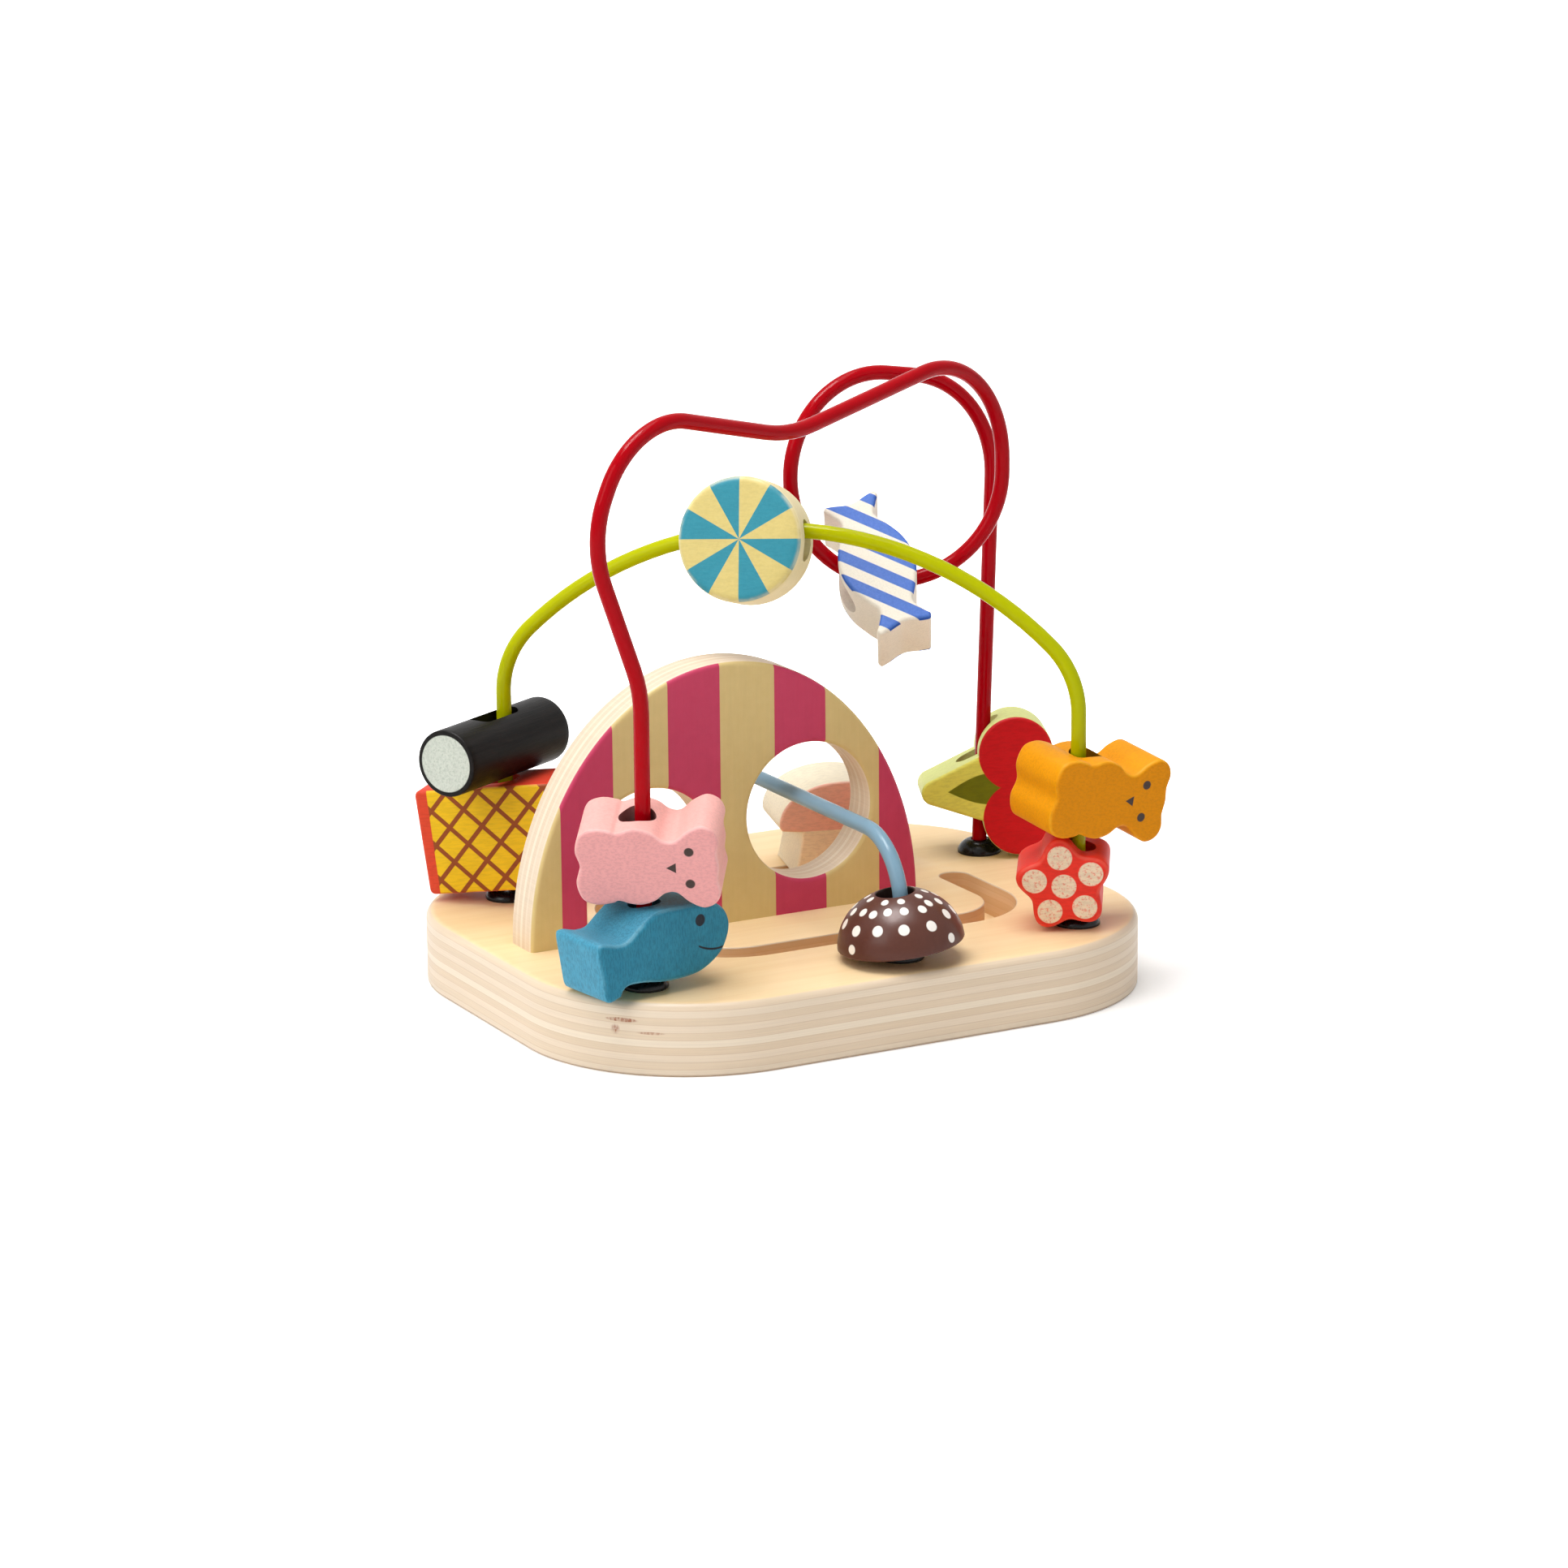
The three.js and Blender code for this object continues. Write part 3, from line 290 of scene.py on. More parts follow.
def edge_profile(thick, rounding, steps=6, rows=7, inset=0.7):
    """(outward step, depth), front to back: a flat margin, a quarter round, the side, and these again."""
    angle = np.linspace(0, math.pi / 2, steps + 1)
    front = np.stack([rounding * (np.sin(angle) - 1), rounding * (1 - np.cos(angle)) - thick / 2], axis=1)
    front = np.concatenate([[[-rounding - inset, -thick / 2]], front])
    side = np.stack([np.zeros(rows), np.linspace(-1, 1, rows + 2)[1:-1] * (thick / 2 - rounding)], axis=1)
    return np.concatenate([front, side, front[::-1] * [1, -1]])


def turned(name, profile, sides):
    """A closed ring turned about Z: each (radius, height) of the closed profile goes round a full circle."""
    angle = np.linspace(0, 2 * math.pi, sides, endpoint=False)[:, None]
    radius, height = profile[:, 0][None], profile[:, 1][None]
    points = np.stack(np.broadcast_arrays(radius * np.cos(angle), radius * np.sin(angle), height), axis=-1)
    return mesh_object(name, points.reshape(-1, 3), ring_faces(sides, len(profile), close_rows=True))


def tube(name, path, radius, sides, reference):
    """A rod along the path: a circle in the plane of reference x direction and its square; flat ends."""
    place, way = path
    across = unit(np.cross(np.asarray(reference, float), way))
    upward = np.cross(way, across)
    angle = np.linspace(0, 2 * math.pi, sides, endpoint=False)[None, :, None]
    points = place[:, None] + radius * (across[:, None] * np.cos(angle) - upward[:, None] * np.sin(angle))
    return mesh_object(name, points.reshape(-1, 3), capped_faces(len(place), sides))


def rod(x, y, z, radius, length):
    """An upright round cutter or peg of the given length, centred on (x, y, z)."""
    way = np.asarray(UPRIGHT, float)
    middle, half = np.array([x, y, z]), way * length / 2
    path = np.array([middle - half, middle + half]), np.array([way, way])
    return tube("rod", path, radius, ROD_SIDES, (0, 1, 0))


def slot_cutter(length, width, reach, standing=False, up=0.0):
    """A slot with round ends, run through along Z, or along X with the slot standing up."""
    half = (length - width) / 2
    outline = np.concatenate([arc(half, 0, width / 2, -90, 90, 20), arc(-half, 0, width / 2, 90, 270, 20)])
    profile = np.array([[0, -reach / 2], [0, reach / 2]])
    cutter = plate("slot", outline, profile, lying=True)
    if standing:
        points = points_of(cutter.data)
        put_points(cutter.data, np.stack([points[:, 2], points[:, 1], up - points[:, 0]], axis=1))
    return cutter


def points_of(mesh):
    """The mesh's points as an array."""
    flat = np.empty(len(mesh.vertices) * 3)
    mesh.vertices.foreach_get("co", flat)
    return flat.reshape(-1, 3)


def put_points(mesh, points):
    """Puts an array of points back into the mesh."""
    mesh.vertices.foreach_set("co", points.ravel())
    mesh.update()


def carve(piece, *tools, operation="DIFFERENCE"):
    """Cuts the tools out of the piece, or joins them to it, and leaves one plain mesh."""
    for tool in tools:
        modifier = piece.modifiers.new("carve", "BOOLEAN")
        modifier.operation = operation
        modifier.solver = "EXACT"
        modifier.object = tool
    bpy.context.view_layer.update()
    evaluated = piece.evaluated_get(bpy.context.evaluated_depsgraph_get())
    mesh = bpy.data.meshes.new_from_object(evaluated)
    piece.modifiers.clear()
    old, piece.data = piece.data, mesh
    mesh.name = piece.name
    bpy.data.meshes.remove(old)
    for tool in tools:
        bpy.data.meshes.remove(tool.data)


def pose(at, yaw=0.0, pitch=0.0, roll=0.0, shift=(0, 0, 0)):
    """(turn, move) that takes a bead to its wire: shift, lift the right end, tip the face up, turn, move."""
    yaw, pitch, roll = math.radians(yaw), -math.radians(pitch), -math.radians(roll)
    turn_z = [[math.cos(yaw), -math.sin(yaw), 0], [math.sin(yaw), math.cos(yaw), 0], [0, 0, 1]]
    turn_x = [[1, 0, 0], [0, math.cos(pitch), -math.sin(pitch)], [0, math.sin(pitch), math.cos(pitch)]]
    turn_y = [[math.cos(roll), 0, math.sin(roll)], [0, 1, 0], [-math.sin(roll), 0, math.cos(roll)]]
    turn = np.array(turn_z) @ np.array(turn_x) @ np.array(turn_y)
    return turn, np.asarray(at, float) + turn @ np.asarray(shift, float)


def on_leg(foot, z, yaw, pitch=0.0, roll=0.0, shift=0.0, back=0.0):
    """The pose of a bead threaded on a leg at a height over the base top."""
    return pose(raised(foot, z), yaw, pitch, roll, (shift, back, 0))


def raised(foot, height):
    """A point over a foot, at a height over the base top."""
    return (foot[0], foot[1], TOP + height)


bodies = frame["record"]["behaviour"]["bodies"]
body_of_node = {node: body for body, nodes in bodies.items() for node in nodes}
IN_PLACE = pose((0, 0, 0))


def settle(piece, node, placing, material):
    """Keeps the piece's own coordinates as an attribute, puts it in place and lets it stand for its node."""
    mesh = piece.data
    points = points_of(mesh)
    own = mesh.attributes.new("own", "FLOAT_VECTOR", "POINT")
    own.data.foreach_set("vector", points.ravel())
    turn, move = placing
    put_points(mesh, (points @ turn.T + move + ORIGIN) * MM)
    mesh.shade_smooth()
    mesh.set_sharp_from_angle(angle=SHARP_TURN)
    mesh.materials.clear()
    mesh.materials.append(material)
    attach(piece, body_of_node[node])
    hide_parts(node)


# Finishes

def tint(red, green, blue):
    """A screen colour from 0 to 255 as the linear colour that a shader takes."""
    share = np.array([red, green, blue]) / 255
    linear = np.where(share <= 0.04045, share / 12.92, ((share + 0.055) / 1.055) ** 2.4)
    return (*linear, 1.0)


INK = tint(74, 62, 58)
CREAM = tint(244, 232, 205)


class Value:
    """A node's output that goes into sums as a number does: each operation adds a math node."""

    def __init__(self, tree, socket):
        self.tree = tree
        self.socket = socket

    def __add__(self, other):
        return self.tree.math("ADD", self, other)

    __radd__ = __add__

    def __sub__(self, other):
        return self.tree.math("SUBTRACT", self, other)

    def __rsub__(self, other):
        return self.tree.math("SUBTRACT", other, self)

    def __mul__(self, other):
        return self.tree.math("MULTIPLY", self, other)

    def __truediv__(self, other):
        return self.tree.math("DIVIDE", self, other)

    def __rtruediv__(self, other):
        return self.tree.math("DIVIDE", other, self)

    def __abs__(self):
        return self.tree.math("ABSOLUTE", self)


class Tree:
    """A node tree put together step by step; an input takes a number, a colour or a Value."""

    def __init__(self, tree):
        self.nodes = tree.nodes
        self.links = tree.links

    def add(self, kind, *inputs, **settings):
        """A new node with its settings, and with its first inputs fed in their order."""
        node = self.nodes.new(kind)
        for name, setting in settings.items():
            setattr(node, name, setting)
        for socket, value in zip(node.inputs, inputs):
            self.feed(socket, value)
        return node

    def take(self, output, kind, *inputs, **settings):
        """One output of a new node, by its name or number."""
        return Value(self, self.add(kind, *inputs, **settings).outputs[output])

    def feed(self, socket, value):
        """Links a Value to the input, or sets the input to a number or colour."""
        if isinstance(value, Value):
            self.links.new(value.socket, socket)
        else:
            socket.default_value = value

    def math(self, operation, *values, clamp=False):
        """The result of one math node."""
        return self.take(0, "ShaderNodeMath", *values, operation=operation, use_clamp=clamp)

    def split(self, vector):
        """The three parts of a vector."""
        return [Value(self, part) for part in self.add("ShaderNodeSeparateXYZ", vector).outputs]

    def reach(self, across, up):
        """The root of the sum of two squares."""
        return self.math("SQRT", across * across + up * up)

    def step(self, value, low, high):
        """0 below low, 1 above high, with a smooth rise between them; low over high gives a fall."""
        return self.take(0, "ShaderNodeMapRange", value, low, high, interpolation_type="SMOOTHSTEP")

    def between(self, value, low, high, soft):
        """1 from low to high, with a smooth rise and fall as wide as soft to each side of the two."""
        return self.step(value, low - soft, low + soft) * self.step(value, high + soft, high - soft)

    def spread(self, value, low, high):
        """A share from 0 to 1 carried to the range from low to high."""
        return self.take(0, "ShaderNodeMapRange", value, 0.0, 1.0, low, high)

    def any_of(self, first, *others):
        """The greatest of the values."""
        for other in others:
            first = self.math("MAXIMUM", first, other)
        return first

    def seen(self):
        """1 for rays from the camera, a gloss or a clear piece, which show the white ground, 0 for light."""
        rays = self.add("ShaderNodeLightPath").outputs
        kinds = ("Is Camera Ray", "Is Glossy Ray", "Is Transmission Ray")
        return self.any_of(*[Value(self, rays[kind]) for kind in kinds])


class Finish(Tree):
    """A material of one shader, whose colour and relief follow the piece's own coordinates."""

    def __init__(self, name, roughness=0.5, coat=0.0, coat_roughness=0.1, specular=0.15):
        self.material = bpy.data.materials.new(name)
        self.material.use_nodes = True
        super().__init__(self.material.node_tree)
        self.inputs = self.nodes["Principled BSDF"].inputs
        self.inputs["Roughness"].default_value = roughness
        self.inputs["Coat Weight"].default_value = coat
        self.inputs["Coat Roughness"].default_value = coat_roughness
        self.inputs["Specular IOR Level"].default_value = specular
        self.roughness = roughness
        self.own = self.take("Vector", "ShaderNodeAttribute", attribute_name="own")
        self.x, self.y, self.z = self.split(self.own)

    def mix(self, share, low, high):
        """The low colour where the share is 0, the high one where it is 1."""
        node = self.add("ShaderNodeMix", data_type="RGBA")
        for index, value in ((0, share), (6, low), (7, high)):
            self.feed(node.inputs[index], value)
        return Value(self, node.outputs[2])

    def shade(self, colour, factor):
        """The colour times a factor."""
        node = self.add("ShaderNodeVectorMath", colour, operation="SCALE")
        self.feed(node.inputs["Scale"], factor)
        return Value(self, node.outputs[0])

    def noise(self, stretch, detail=4.0, roughness=0.55):
        """A noise from 0 to 1, with stretch features in each of the piece's own millimetres."""
        mapping = self.add("ShaderNodeMapping", self.own)
        mapping.inputs["Scale"].default_value = stretch
        node = self.add("ShaderNodeTexNoise", Value(self, mapping.outputs[0]))
        node.inputs["Scale"].default_value = 1.0
        node.inputs["Detail"].default_value = detail
        node.inputs["Roughness"].default_value = roughness
        return Value(self, node.outputs["Fac"])

    def chance(self, output, value):
        """A fixed random number or colour for each value, by the name of the output."""
        node = self.add("ShaderNodeTexWhiteNoise", noise_dimensions="1D")
        self.feed(node.inputs["W"], value)
        return Value(self, node.outputs[output])

    def spot(self, x, z, radius, height=None, soft=0.18, place=None):
        """1 inside an ellipse about (x, z), from the distance scaled by the two half widths."""
        across, up = place or (self.x, self.z)
        reach = self.reach((across - x) / radius, (up - z) / (height or radius))
        return self.step(reach, 1 + soft / radius, 1 - soft / radius)

    def face(self, thick, rounding=EDGE_ROUND):
        """1 on the two printed faces of a bead, out to the middle of its rounded edge."""
        return self.step(abs(self.y), thick / 2 - 0.62 * rounding, thick / 2 - 0.42 * rounding)

    def bored(self, colour, x, radius):
        """The colour with painted shade, 0.4 times as bright, on the wall of an upright bore at its radius
        from its axis.
        """
        # painted shade: the wall of the bore is drawn darker, as shade falls in the hole
        wall = self.step(self.reach(self.x - x, self.y), radius + 0.12, radius + 0.04)
        return self.mix(wall, colour, self.shade(colour, 0.4))

    def painted(self, colour, way=(0.25, 1.0, 1.0), depth=0.05, pores=0.10, bump=0.05,
                worn=None, thick=None, rounding=EDGE_ROUND):
        """Thin paint on wood: cloudy patches, and fine open pores drawn out along the grain.

        Where a worn colour is given, the edges of a plate of that thickness are rubbed towards it.
        """
        cloud = self.noise((0.12, 0.12, 0.12), detail=3.0)
        grain = self.noise(tuple(1.7 * share for share in way), detail=3.0, roughness=0.65)
        colour = self.shade(colour, self.spread(cloud, 1 - depth, 1 + depth))
        colour = self.shade(colour, self.spread(self.step(grain, 0.56, 0.40), 1.0, 1 - pores))
        if worn is not None:
            half, depth_in = thick / 2, abs(self.y)
            rub = self.step(depth_in, half - 1.1 * rounding, half - 0.55 * rounding)
            rub = rub * self.step(depth_in, half - 0.02 * rounding, half - 0.3 * rounding)
            rub = rub * self.step(cloud, 0.35, 0.6)
            colour = self.mix(rub * 0.45, colour, worn)
        return self.dress(colour, grain, bump)

    def dress(self, colour, relief, bump=0.05, vary=0.08):
        """Gives the shader its colour, a bump of a height in millimetres and a slight change of gloss."""
        self.feed(self.inputs["Base Color"], colour)
        node = self.add("ShaderNodeBump")
        node.inputs["Strength"].default_value = 1.0
        node.inputs["Distance"].default_value = bump * MM
        self.feed(node.inputs["Height"], relief)
        self.feed(self.inputs["Normal"], Value(self, node.outputs[0]))
        gloss = self.spread(relief, self.roughness - vary, self.roughness + vary)
        self.feed(self.inputs["Roughness"], gloss)
        return self.material


def plywood_edge(finish, height, thick, plies):
    """Alternate plies over the height, each with its own tone, with fine end grain and thin glue lines."""
    run = height * (plies / thick)
    ply, within = finish.math("FLOOR", run), finish.math("FRACT", run)
    odd = finish.math("MODULO", abs(ply), 2.0)
    tone = finish.chance("Value", ply)
    pale = finish.mix(tone, tint(238, 222, 199), tint(233, 214, 190))
    deep = finish.mix(tone, tint(231, 211, 185), tint(225, 203, 175))
    fibre = finish.noise((0.035, 0.035, 2.6), detail=5.0)
    colour = finish.shade(finish.mix(odd, pale, deep), finish.spread(fibre, 0.88, 1.10))
    line = finish.any_of(finish.step(within, 0.08, 0.01), finish.step(within, 0.94, 0.99))
    return finish.mix(line * 0.3, colour, tint(180, 140, 98)), fibre


def base_finish():
    """Maple veneer on top with long fine figure, and the plies of the board on its edge and in the track."""
    finish = Finish("base_plywood", roughness=0.42, coat=0.12, coat_roughness=0.3)
    normal = finish.take("Normal", "ShaderNodeNewGeometry")
    flat = finish.step(abs(finish.split(normal)[2]), 0.80, 0.97)
    edge, fibre = plywood_edge(finish, finish.z, BASE_THICK, BASE_PLIES)
    streak = finish.step(finish.noise((1.1, 1.1, 0.5), detail=3.0), 0.4, 0.6)
    front = finish.step(finish.y, -36.0, -40.0)
    for x, z, width, height, strength in KNOTS:
        knot = finish.spot(x, z, width, height, soft=0.5) * front
        edge = finish.mix(knot * finish.spread(streak, 0.4 * strength, strength), edge, tint(150, 66, 30))
    # painted contact shadow along the foot of the edge, together with the darker bottom ply
    foot_shadow_and_ply = finish.step(finish.z, 0.9, 0.25) * 0.6
    edge = finish.mix(foot_shadow_and_ply, edge, tint(146, 102, 62))
    figure = finish.noise((0.012, 0.24, 0.24), detail=6.0)
    pores = finish.noise((0.05, 1.6, 1.6), detail=3.0)
    veneer = finish.mix(finish.step(figure, 0.25, 0.8), tint(249, 221, 174), tint(243, 211, 160))
    veneer = finish.shade(veneer, finish.spread(pores, 0.965, 1.035))
    past_x = finish.math("MAXIMUM", abs(finish.x) - (BASE_LENGTH / 2 - BASE_CORNER), 0.0)
    past_y = finish.math("MAXIMUM", abs(finish.y) - (BASE_WIDTH / 2 - BASE_CORNER), 0.0)
    within = finish.step(finish.reach(past_x, past_y), BASE_CORNER - 6, BASE_CORNER - 9)
    cut_wall = finish.mix(0.55, edge, tint(232, 178, 104))
    edge = finish.mix(within * finish.step(finish.z, TOP - 0.2, TOP - 0.5), edge, cut_wall)
    return finish.dress(finish.mix(flat, edge, veneer), pores * 0.5 + fibre * 0.5, bump=0.06)


def panel_finish():
    """Printed stripes on both faces, from the share of a stripe pitch along X, and bare plies at the edge."""
    finish = Finish("panel_plywood", roughness=0.46, coat=0.08, coat_roughness=0.35)
    from_stripe = STRIPE_START - 2 * STRIPE_PITCH - PANEL_X
    share = finish.math("FRACT", (finish.x - from_stripe) / STRIPE_PITCH)
    stripe = finish.between(share, 0.003, STRIPE_WIDTH / STRIPE_PITCH, 0.003)
    cloud = finish.noise((0.3, 0.3, 0.3))
    magenta = finish.mix(cloud, tint(198, 62, 96), tint(206, 70, 104))
    straw = finish.mix(cloud, tint(217, 192, 129), tint(225, 201, 139))
    grain = finish.noise((0.8, 0.8, 0.05), detail=5.0)
    print_colour = finish.shade(finish.mix(stripe, straw, magenta), finish.spread(grain, 0.95, 1.05))
    edge, fibre = plywood_edge(finish, finish.y + PANEL_THICK / 2, PANEL_THICK, PANEL_PLIES)
    colour = finish.mix(finish.face(PANEL_THICK, PANEL_ROUND), edge, print_colour)
    return finish.dress(colour, grain * 0.7 + fibre * 0.3)


def coated(name, colour, deep, specular=0.06):
    """A gloss plastic skin on a bent wire, with faint runs of colour and a slight orange peel."""
    finish = Finish(name, roughness=0.07, specular=specular)
    cloud = finish.noise((0.06, 0.06, 0.06), detail=3.0)
    peel = finish.noise((0.25, 0.25, 0.25), detail=1.0)
    return finish.dress(finish.mix(cloud, colour, deep), peel, bump=0.015, vary=0.04)


def collar_finish():
    """Gloss black moulded rubber with a little dust in the surface."""
    finish = Finish("collar_black", roughness=0.26, coat=0.08, coat_roughness=0.15, specular=0.2)
    dust = finish.noise((0.9, 0.9, 0.9), detail=5.0)
    colour = finish.mix(finish.step(dust, 0.5, 0.8), tint(12, 11, 11), tint(20, 18, 18))
    return finish.dress(colour, dust, bump=0.03)


def fish_finish():
    """Blue paint with a dark eye, and a smile drawn where Z lies on a shallow parabola of X."""
    finish = Finish("fish_blue")
    face = finish.face(FISH_THICK, FISH_ROUND)
    cloud = finish.noise((0.3, 0.3, 0.2))
    sides = finish.mix(cloud, tint(66, 148, 178), tint(82, 162, 190))
    colour = finish.mix(face, sides, finish.mix(cloud, tint(40, 123, 152), tint(56, 140, 167)))
    off = finish.x - FISH_SMILE_X
    curve = off * off * FISH_SMILE_CURVE + FISH_SMILE_Z
    smile = finish.step(abs(finish.z - curve), 0.42, 0.2) * finish.between(finish.x, *FISH_SMILE_ENDS, 0.3)
    mark = finish.any_of(finish.spot(*FISH_EYE), smile) * face
    # painted shade on the wall of the wire's bore
    colour = finish.bored(finish.mix(mark, colour, tint(34, 40, 50)), 0, FISH_BORE)
    return finish.painted(colour, (1.3, 1.0, 0.28), pores=0.24,
                          worn=tint(120, 180, 198), thick=FISH_THICK, rounding=FISH_ROUND)


def bear_finish(name, paint, sides, worn):
    """Paint that is paler round the sides, with two round eyes and a small triangular nose on each face."""
    finish = Finish(name, specular=0.1)
    face = finish.face(BEAR_THICK)
    eyes = [finish.spot(BEAR_EYE_X, z, BEAR_EYE) for z in (BEAR_EYE_Z, -BEAR_EYE_Z)]
    widening = (finish.x - BEAR_NOSE_X) / BEAR_NOSE_LENGTH * BEAR_NOSE_WIDTH
    nose_end = BEAR_NOSE_X + BEAR_NOSE_LENGTH
    nose = finish.step(widening - abs(finish.z), -0.1, 0.1)
    nose = nose * finish.step(finish.x, nose_end + 0.1, nose_end - 0.1)
    mark = finish.any_of(*eyes, nose) * face
    # painted shade on the wall of the wire's bore
    colour = finish.bored(finish.mix(face, sides, paint), BEAR_BORE_X, BEAR_BORE)
    colour = finish.mix(mark, colour, INK)
    return finish.painted(colour, (0.5, 1.0, 0.9), depth=0.04, worn=worn, thick=BEAR_THICK)


def flower_finish():
    """Coral paint with six cream dots, one in the middle and one on each lobe, printed over open grain."""
    finish = Finish("flower_coral")
    dots = [finish.spot(0.0, 0.0, FLOWER_DOT)]
    for k in range(FLOWER_LOBES):
        angle = FLOWER_TURN + 2 * math.pi * k / FLOWER_LOBES
        x, z = FLOWER_DOT_REACH * math.cos(angle), FLOWER_DOT_REACH * math.sin(angle)
        dots.append(finish.spot(x, z, FLOWER_DOT))
    speck = finish.noise((0.9, 0.9, 0.9), roughness=0.7)
    thin = finish.spread(finish.step(speck, 0.36, 0.5), 0.4, 1.0)
    print_share = finish.any_of(*dots) * finish.face(FLOWER_THICK) * thin
    colour = finish.mix(print_share, tint(226, 50, 36), tint(232, 208, 178))
    return finish.painted(colour, worn=tint(232, 98, 78), thick=FLOWER_THICK)


def cherry_finish():
    """Pale green sides; on the faces a stalk, a dark leaf whose width follows a sine, and two red fruits."""
    finish = Finish("cherry_red_green", roughness=0.48)
    fruits = [finish.spot(CHERRY_LOBE_X, z, CHERRY_LOBE) for z in (CHERRY_LOBE_Z, -CHERRY_LOBE_Z)]
    run = (finish.x - CHERRY_LEAF_X) * (math.pi / 2 / CHERRY_LEAF_LENGTH)
    half_width = finish.math("SINE", run) * CHERRY_LEAF_WIDTH
    leaf = finish.step(half_width - abs(finish.z), -0.12, 0.12)
    colour = finish.mix(leaf, tint(230, 222, 96), tint(112, 114, 6))
    colour = finish.mix(finish.any_of(*fruits), colour, tint(206, 20, 28))
    return finish.painted(finish.mix(finish.face(CHERRY_THICK), tint(222, 226, 140), colour))


def waffle_finish():
    """A yellow face under a lattice of brown diagonals, a red band at each end, and red sides."""
    finish = Finish("waffle_yellow")
    lines = []
    for rise, start in WAFFLE_LATTICE:
        share = finish.math("FRACT", (finish.x + finish.z * rise + start) / WAFFLE_LATTICE_PITCH)
        lines.append(finish.step(abs(share - 0.5), 0.105, 0.08))
    colour = finish.mix(finish.any_of(*lines), tint(236, 190, 26), tint(146, 72, 32))
    band_edge = WAFFLE_TOP / 2 - WAFFLE_BAND
    band = finish.step(abs(finish.x), band_edge - 0.15, band_edge + 0.15)
    colour = finish.mix(band, colour, tint(216, 70, 42))
    colour = finish.mix(finish.face(WAFFLE_THICK, WAFFLE_ROUND), tint(224, 66, 40), colour)
    return finish.painted(colour, (0.15, 1.0, 1.0), worn=tint(234, 116, 84), thick=WAFFLE_THICK,
                          rounding=WAFFLE_ROUND)


def liquorice_finish():
    """Satin black with a pale speckled disc on each end, inside a black rim."""
    finish = Finish("liquorice_black", roughness=0.4, specular=0.1)
    end = finish.step(abs(finish.x), ROLL_LENGTH / 2 - 0.3, ROLL_LENGTH / 2 - 0.15)
    disc = end * finish.spot(0, 0, ROLL_RADIUS - ROLL_RIM, place=(finish.y, finish.z))
    speck = finish.noise((1.2, 1.2, 1.2), roughness=0.7)
    pale = finish.mix(finish.step(speck, 0.45, 0.66), tint(209, 214, 202), tint(188, 197, 183))
    grain = finish.noise((0.05, 0.9, 0.9), detail=6.0)
    black = finish.mix(finish.step(grain, 0.3, 0.75), tint(13, 11, 10), tint(26, 22, 20))
    return finish.painted(finish.mix(disc, black, pale), (0.1, 1.0, 1.0), bump=0.08)


def disc_finish():
    """Twelve sectors, teal and cream by turns, from the angle about the middle; pale cream rim."""
    finish = Finish("disc_teal_cream")
    angle = finish.math("ARCTAN2", finish.z, finish.x)
    share = finish.math("FRACT", (angle + 2 * math.pi) * (DISC_PAIRS / 2 / math.pi))
    soft = 0.06 / finish.math("MAXIMUM", finish.reach(finish.x, finish.z), 0.3)
    sector = finish.take(0, "ShaderNodeMapRange", share, 0.5 - soft, 0.5 + soft)
    speck = finish.noise((1.1, 1.1, 1.1), detail=3.0)
    teal = finish.mix(speck, tint(46, 138, 158), tint(62, 150, 168))
    straw = finish.mix(speck, tint(215, 195, 118), tint(223, 205, 132))
    colour = finish.mix(sector, straw, teal)
    colour = finish.mix(finish.face(DISC_THICK, SOFT_ROUND), tint(240, 226, 176), colour)
    return finish.painted(colour, depth=0.04, pores=0.05, worn=tint(246, 236, 200), thick=DISC_THICK,
                          rounding=SOFT_ROUND)


def candy_finish():
    """Slanting blue stripes on cream faces, from the distance along the stripes' normal; cream sides."""
    finish = Finish("candy_cream_blue", roughness=0.52)
    run = finish.x * CANDY_STRIPE_WAY[0] + finish.z * CANDY_STRIPE_WAY[1]
    share = finish.math("FRACT", (run + CANDY_STRIPE_START) / CANDY_STRIPE_PITCH)
    stripe = finish.between(share, 0.015, 0.515, 0.015)
    speck = finish.noise((1.0, 1.0, 1.0))
    ink = finish.mix(speck, tint(66, 106, 196), tint(92, 132, 214))
    half, depth_in = CANDY_THICK / 2, abs(finish.y)
    ink = finish.mix(finish.step(depth_in, half - 0.15, half - 0.6), ink, tint(38, 88, 184))
    wrap = finish.step(depth_in, half - 1.4, half - 1.2)
    colour = finish.mix(stripe * wrap, tint(246, 238, 222), ink)
    return finish.painted(colour, (1.0, 1.0, 1.0), depth=0.04, pores=0.06)


def dome_finish():
    """Brown gloss paint with rings of white dots, spaced by angle about the wire and by height; painted shade
    in the bore's mouth.
    """
    finish = Finish("dome_brown", roughness=0.34, coat=0.1, coat_roughness=0.2)
    turn = finish.math("ARCTAN2", finish.y, finish.x) / (2 * math.pi) + 1.0
    climb = finish.math("ARCSINE", finish.math("DIVIDE", finish.z, DOME_RISE, clamp=True))
    rings = []
    for degrees, count, radius, offset in DOT_RINGS:
        rise = math.radians(degrees)
        girth = 2 * math.pi * DOME_RADIUS * math.cos(rise)
        run = turn * count + offset
        strays = finish.split(finish.chance("Color", finish.math("FLOOR", run) + degrees))
        across = (finish.math("FRACT", run) - finish.spread(strays[0], 0.38, 0.62)) * (girth / count)
        along = (climb - rise) * DOME_RISE + finish.spread(strays[1], -0.9, 0.9)
        rings.append(finish.spot(0, 0, radius, soft=0.15, place=(across, along)))
    colour = finish.mix(finish.any_of(*rings), tint(90, 52, 42), tint(246, 240, 232))
    # painted shade: the bore and a thin ring round its mouth are drawn near black
    bore = finish.spot(0, 0, DOME_BORE + 0.45, soft=0.1, place=(finish.x, finish.y))
    colour = finish.mix(bore, colour, tint(40, 26, 22))
    return finish.painted(colour, (0.6, 0.6, 0.6), pores=0.03, bump=0.03)


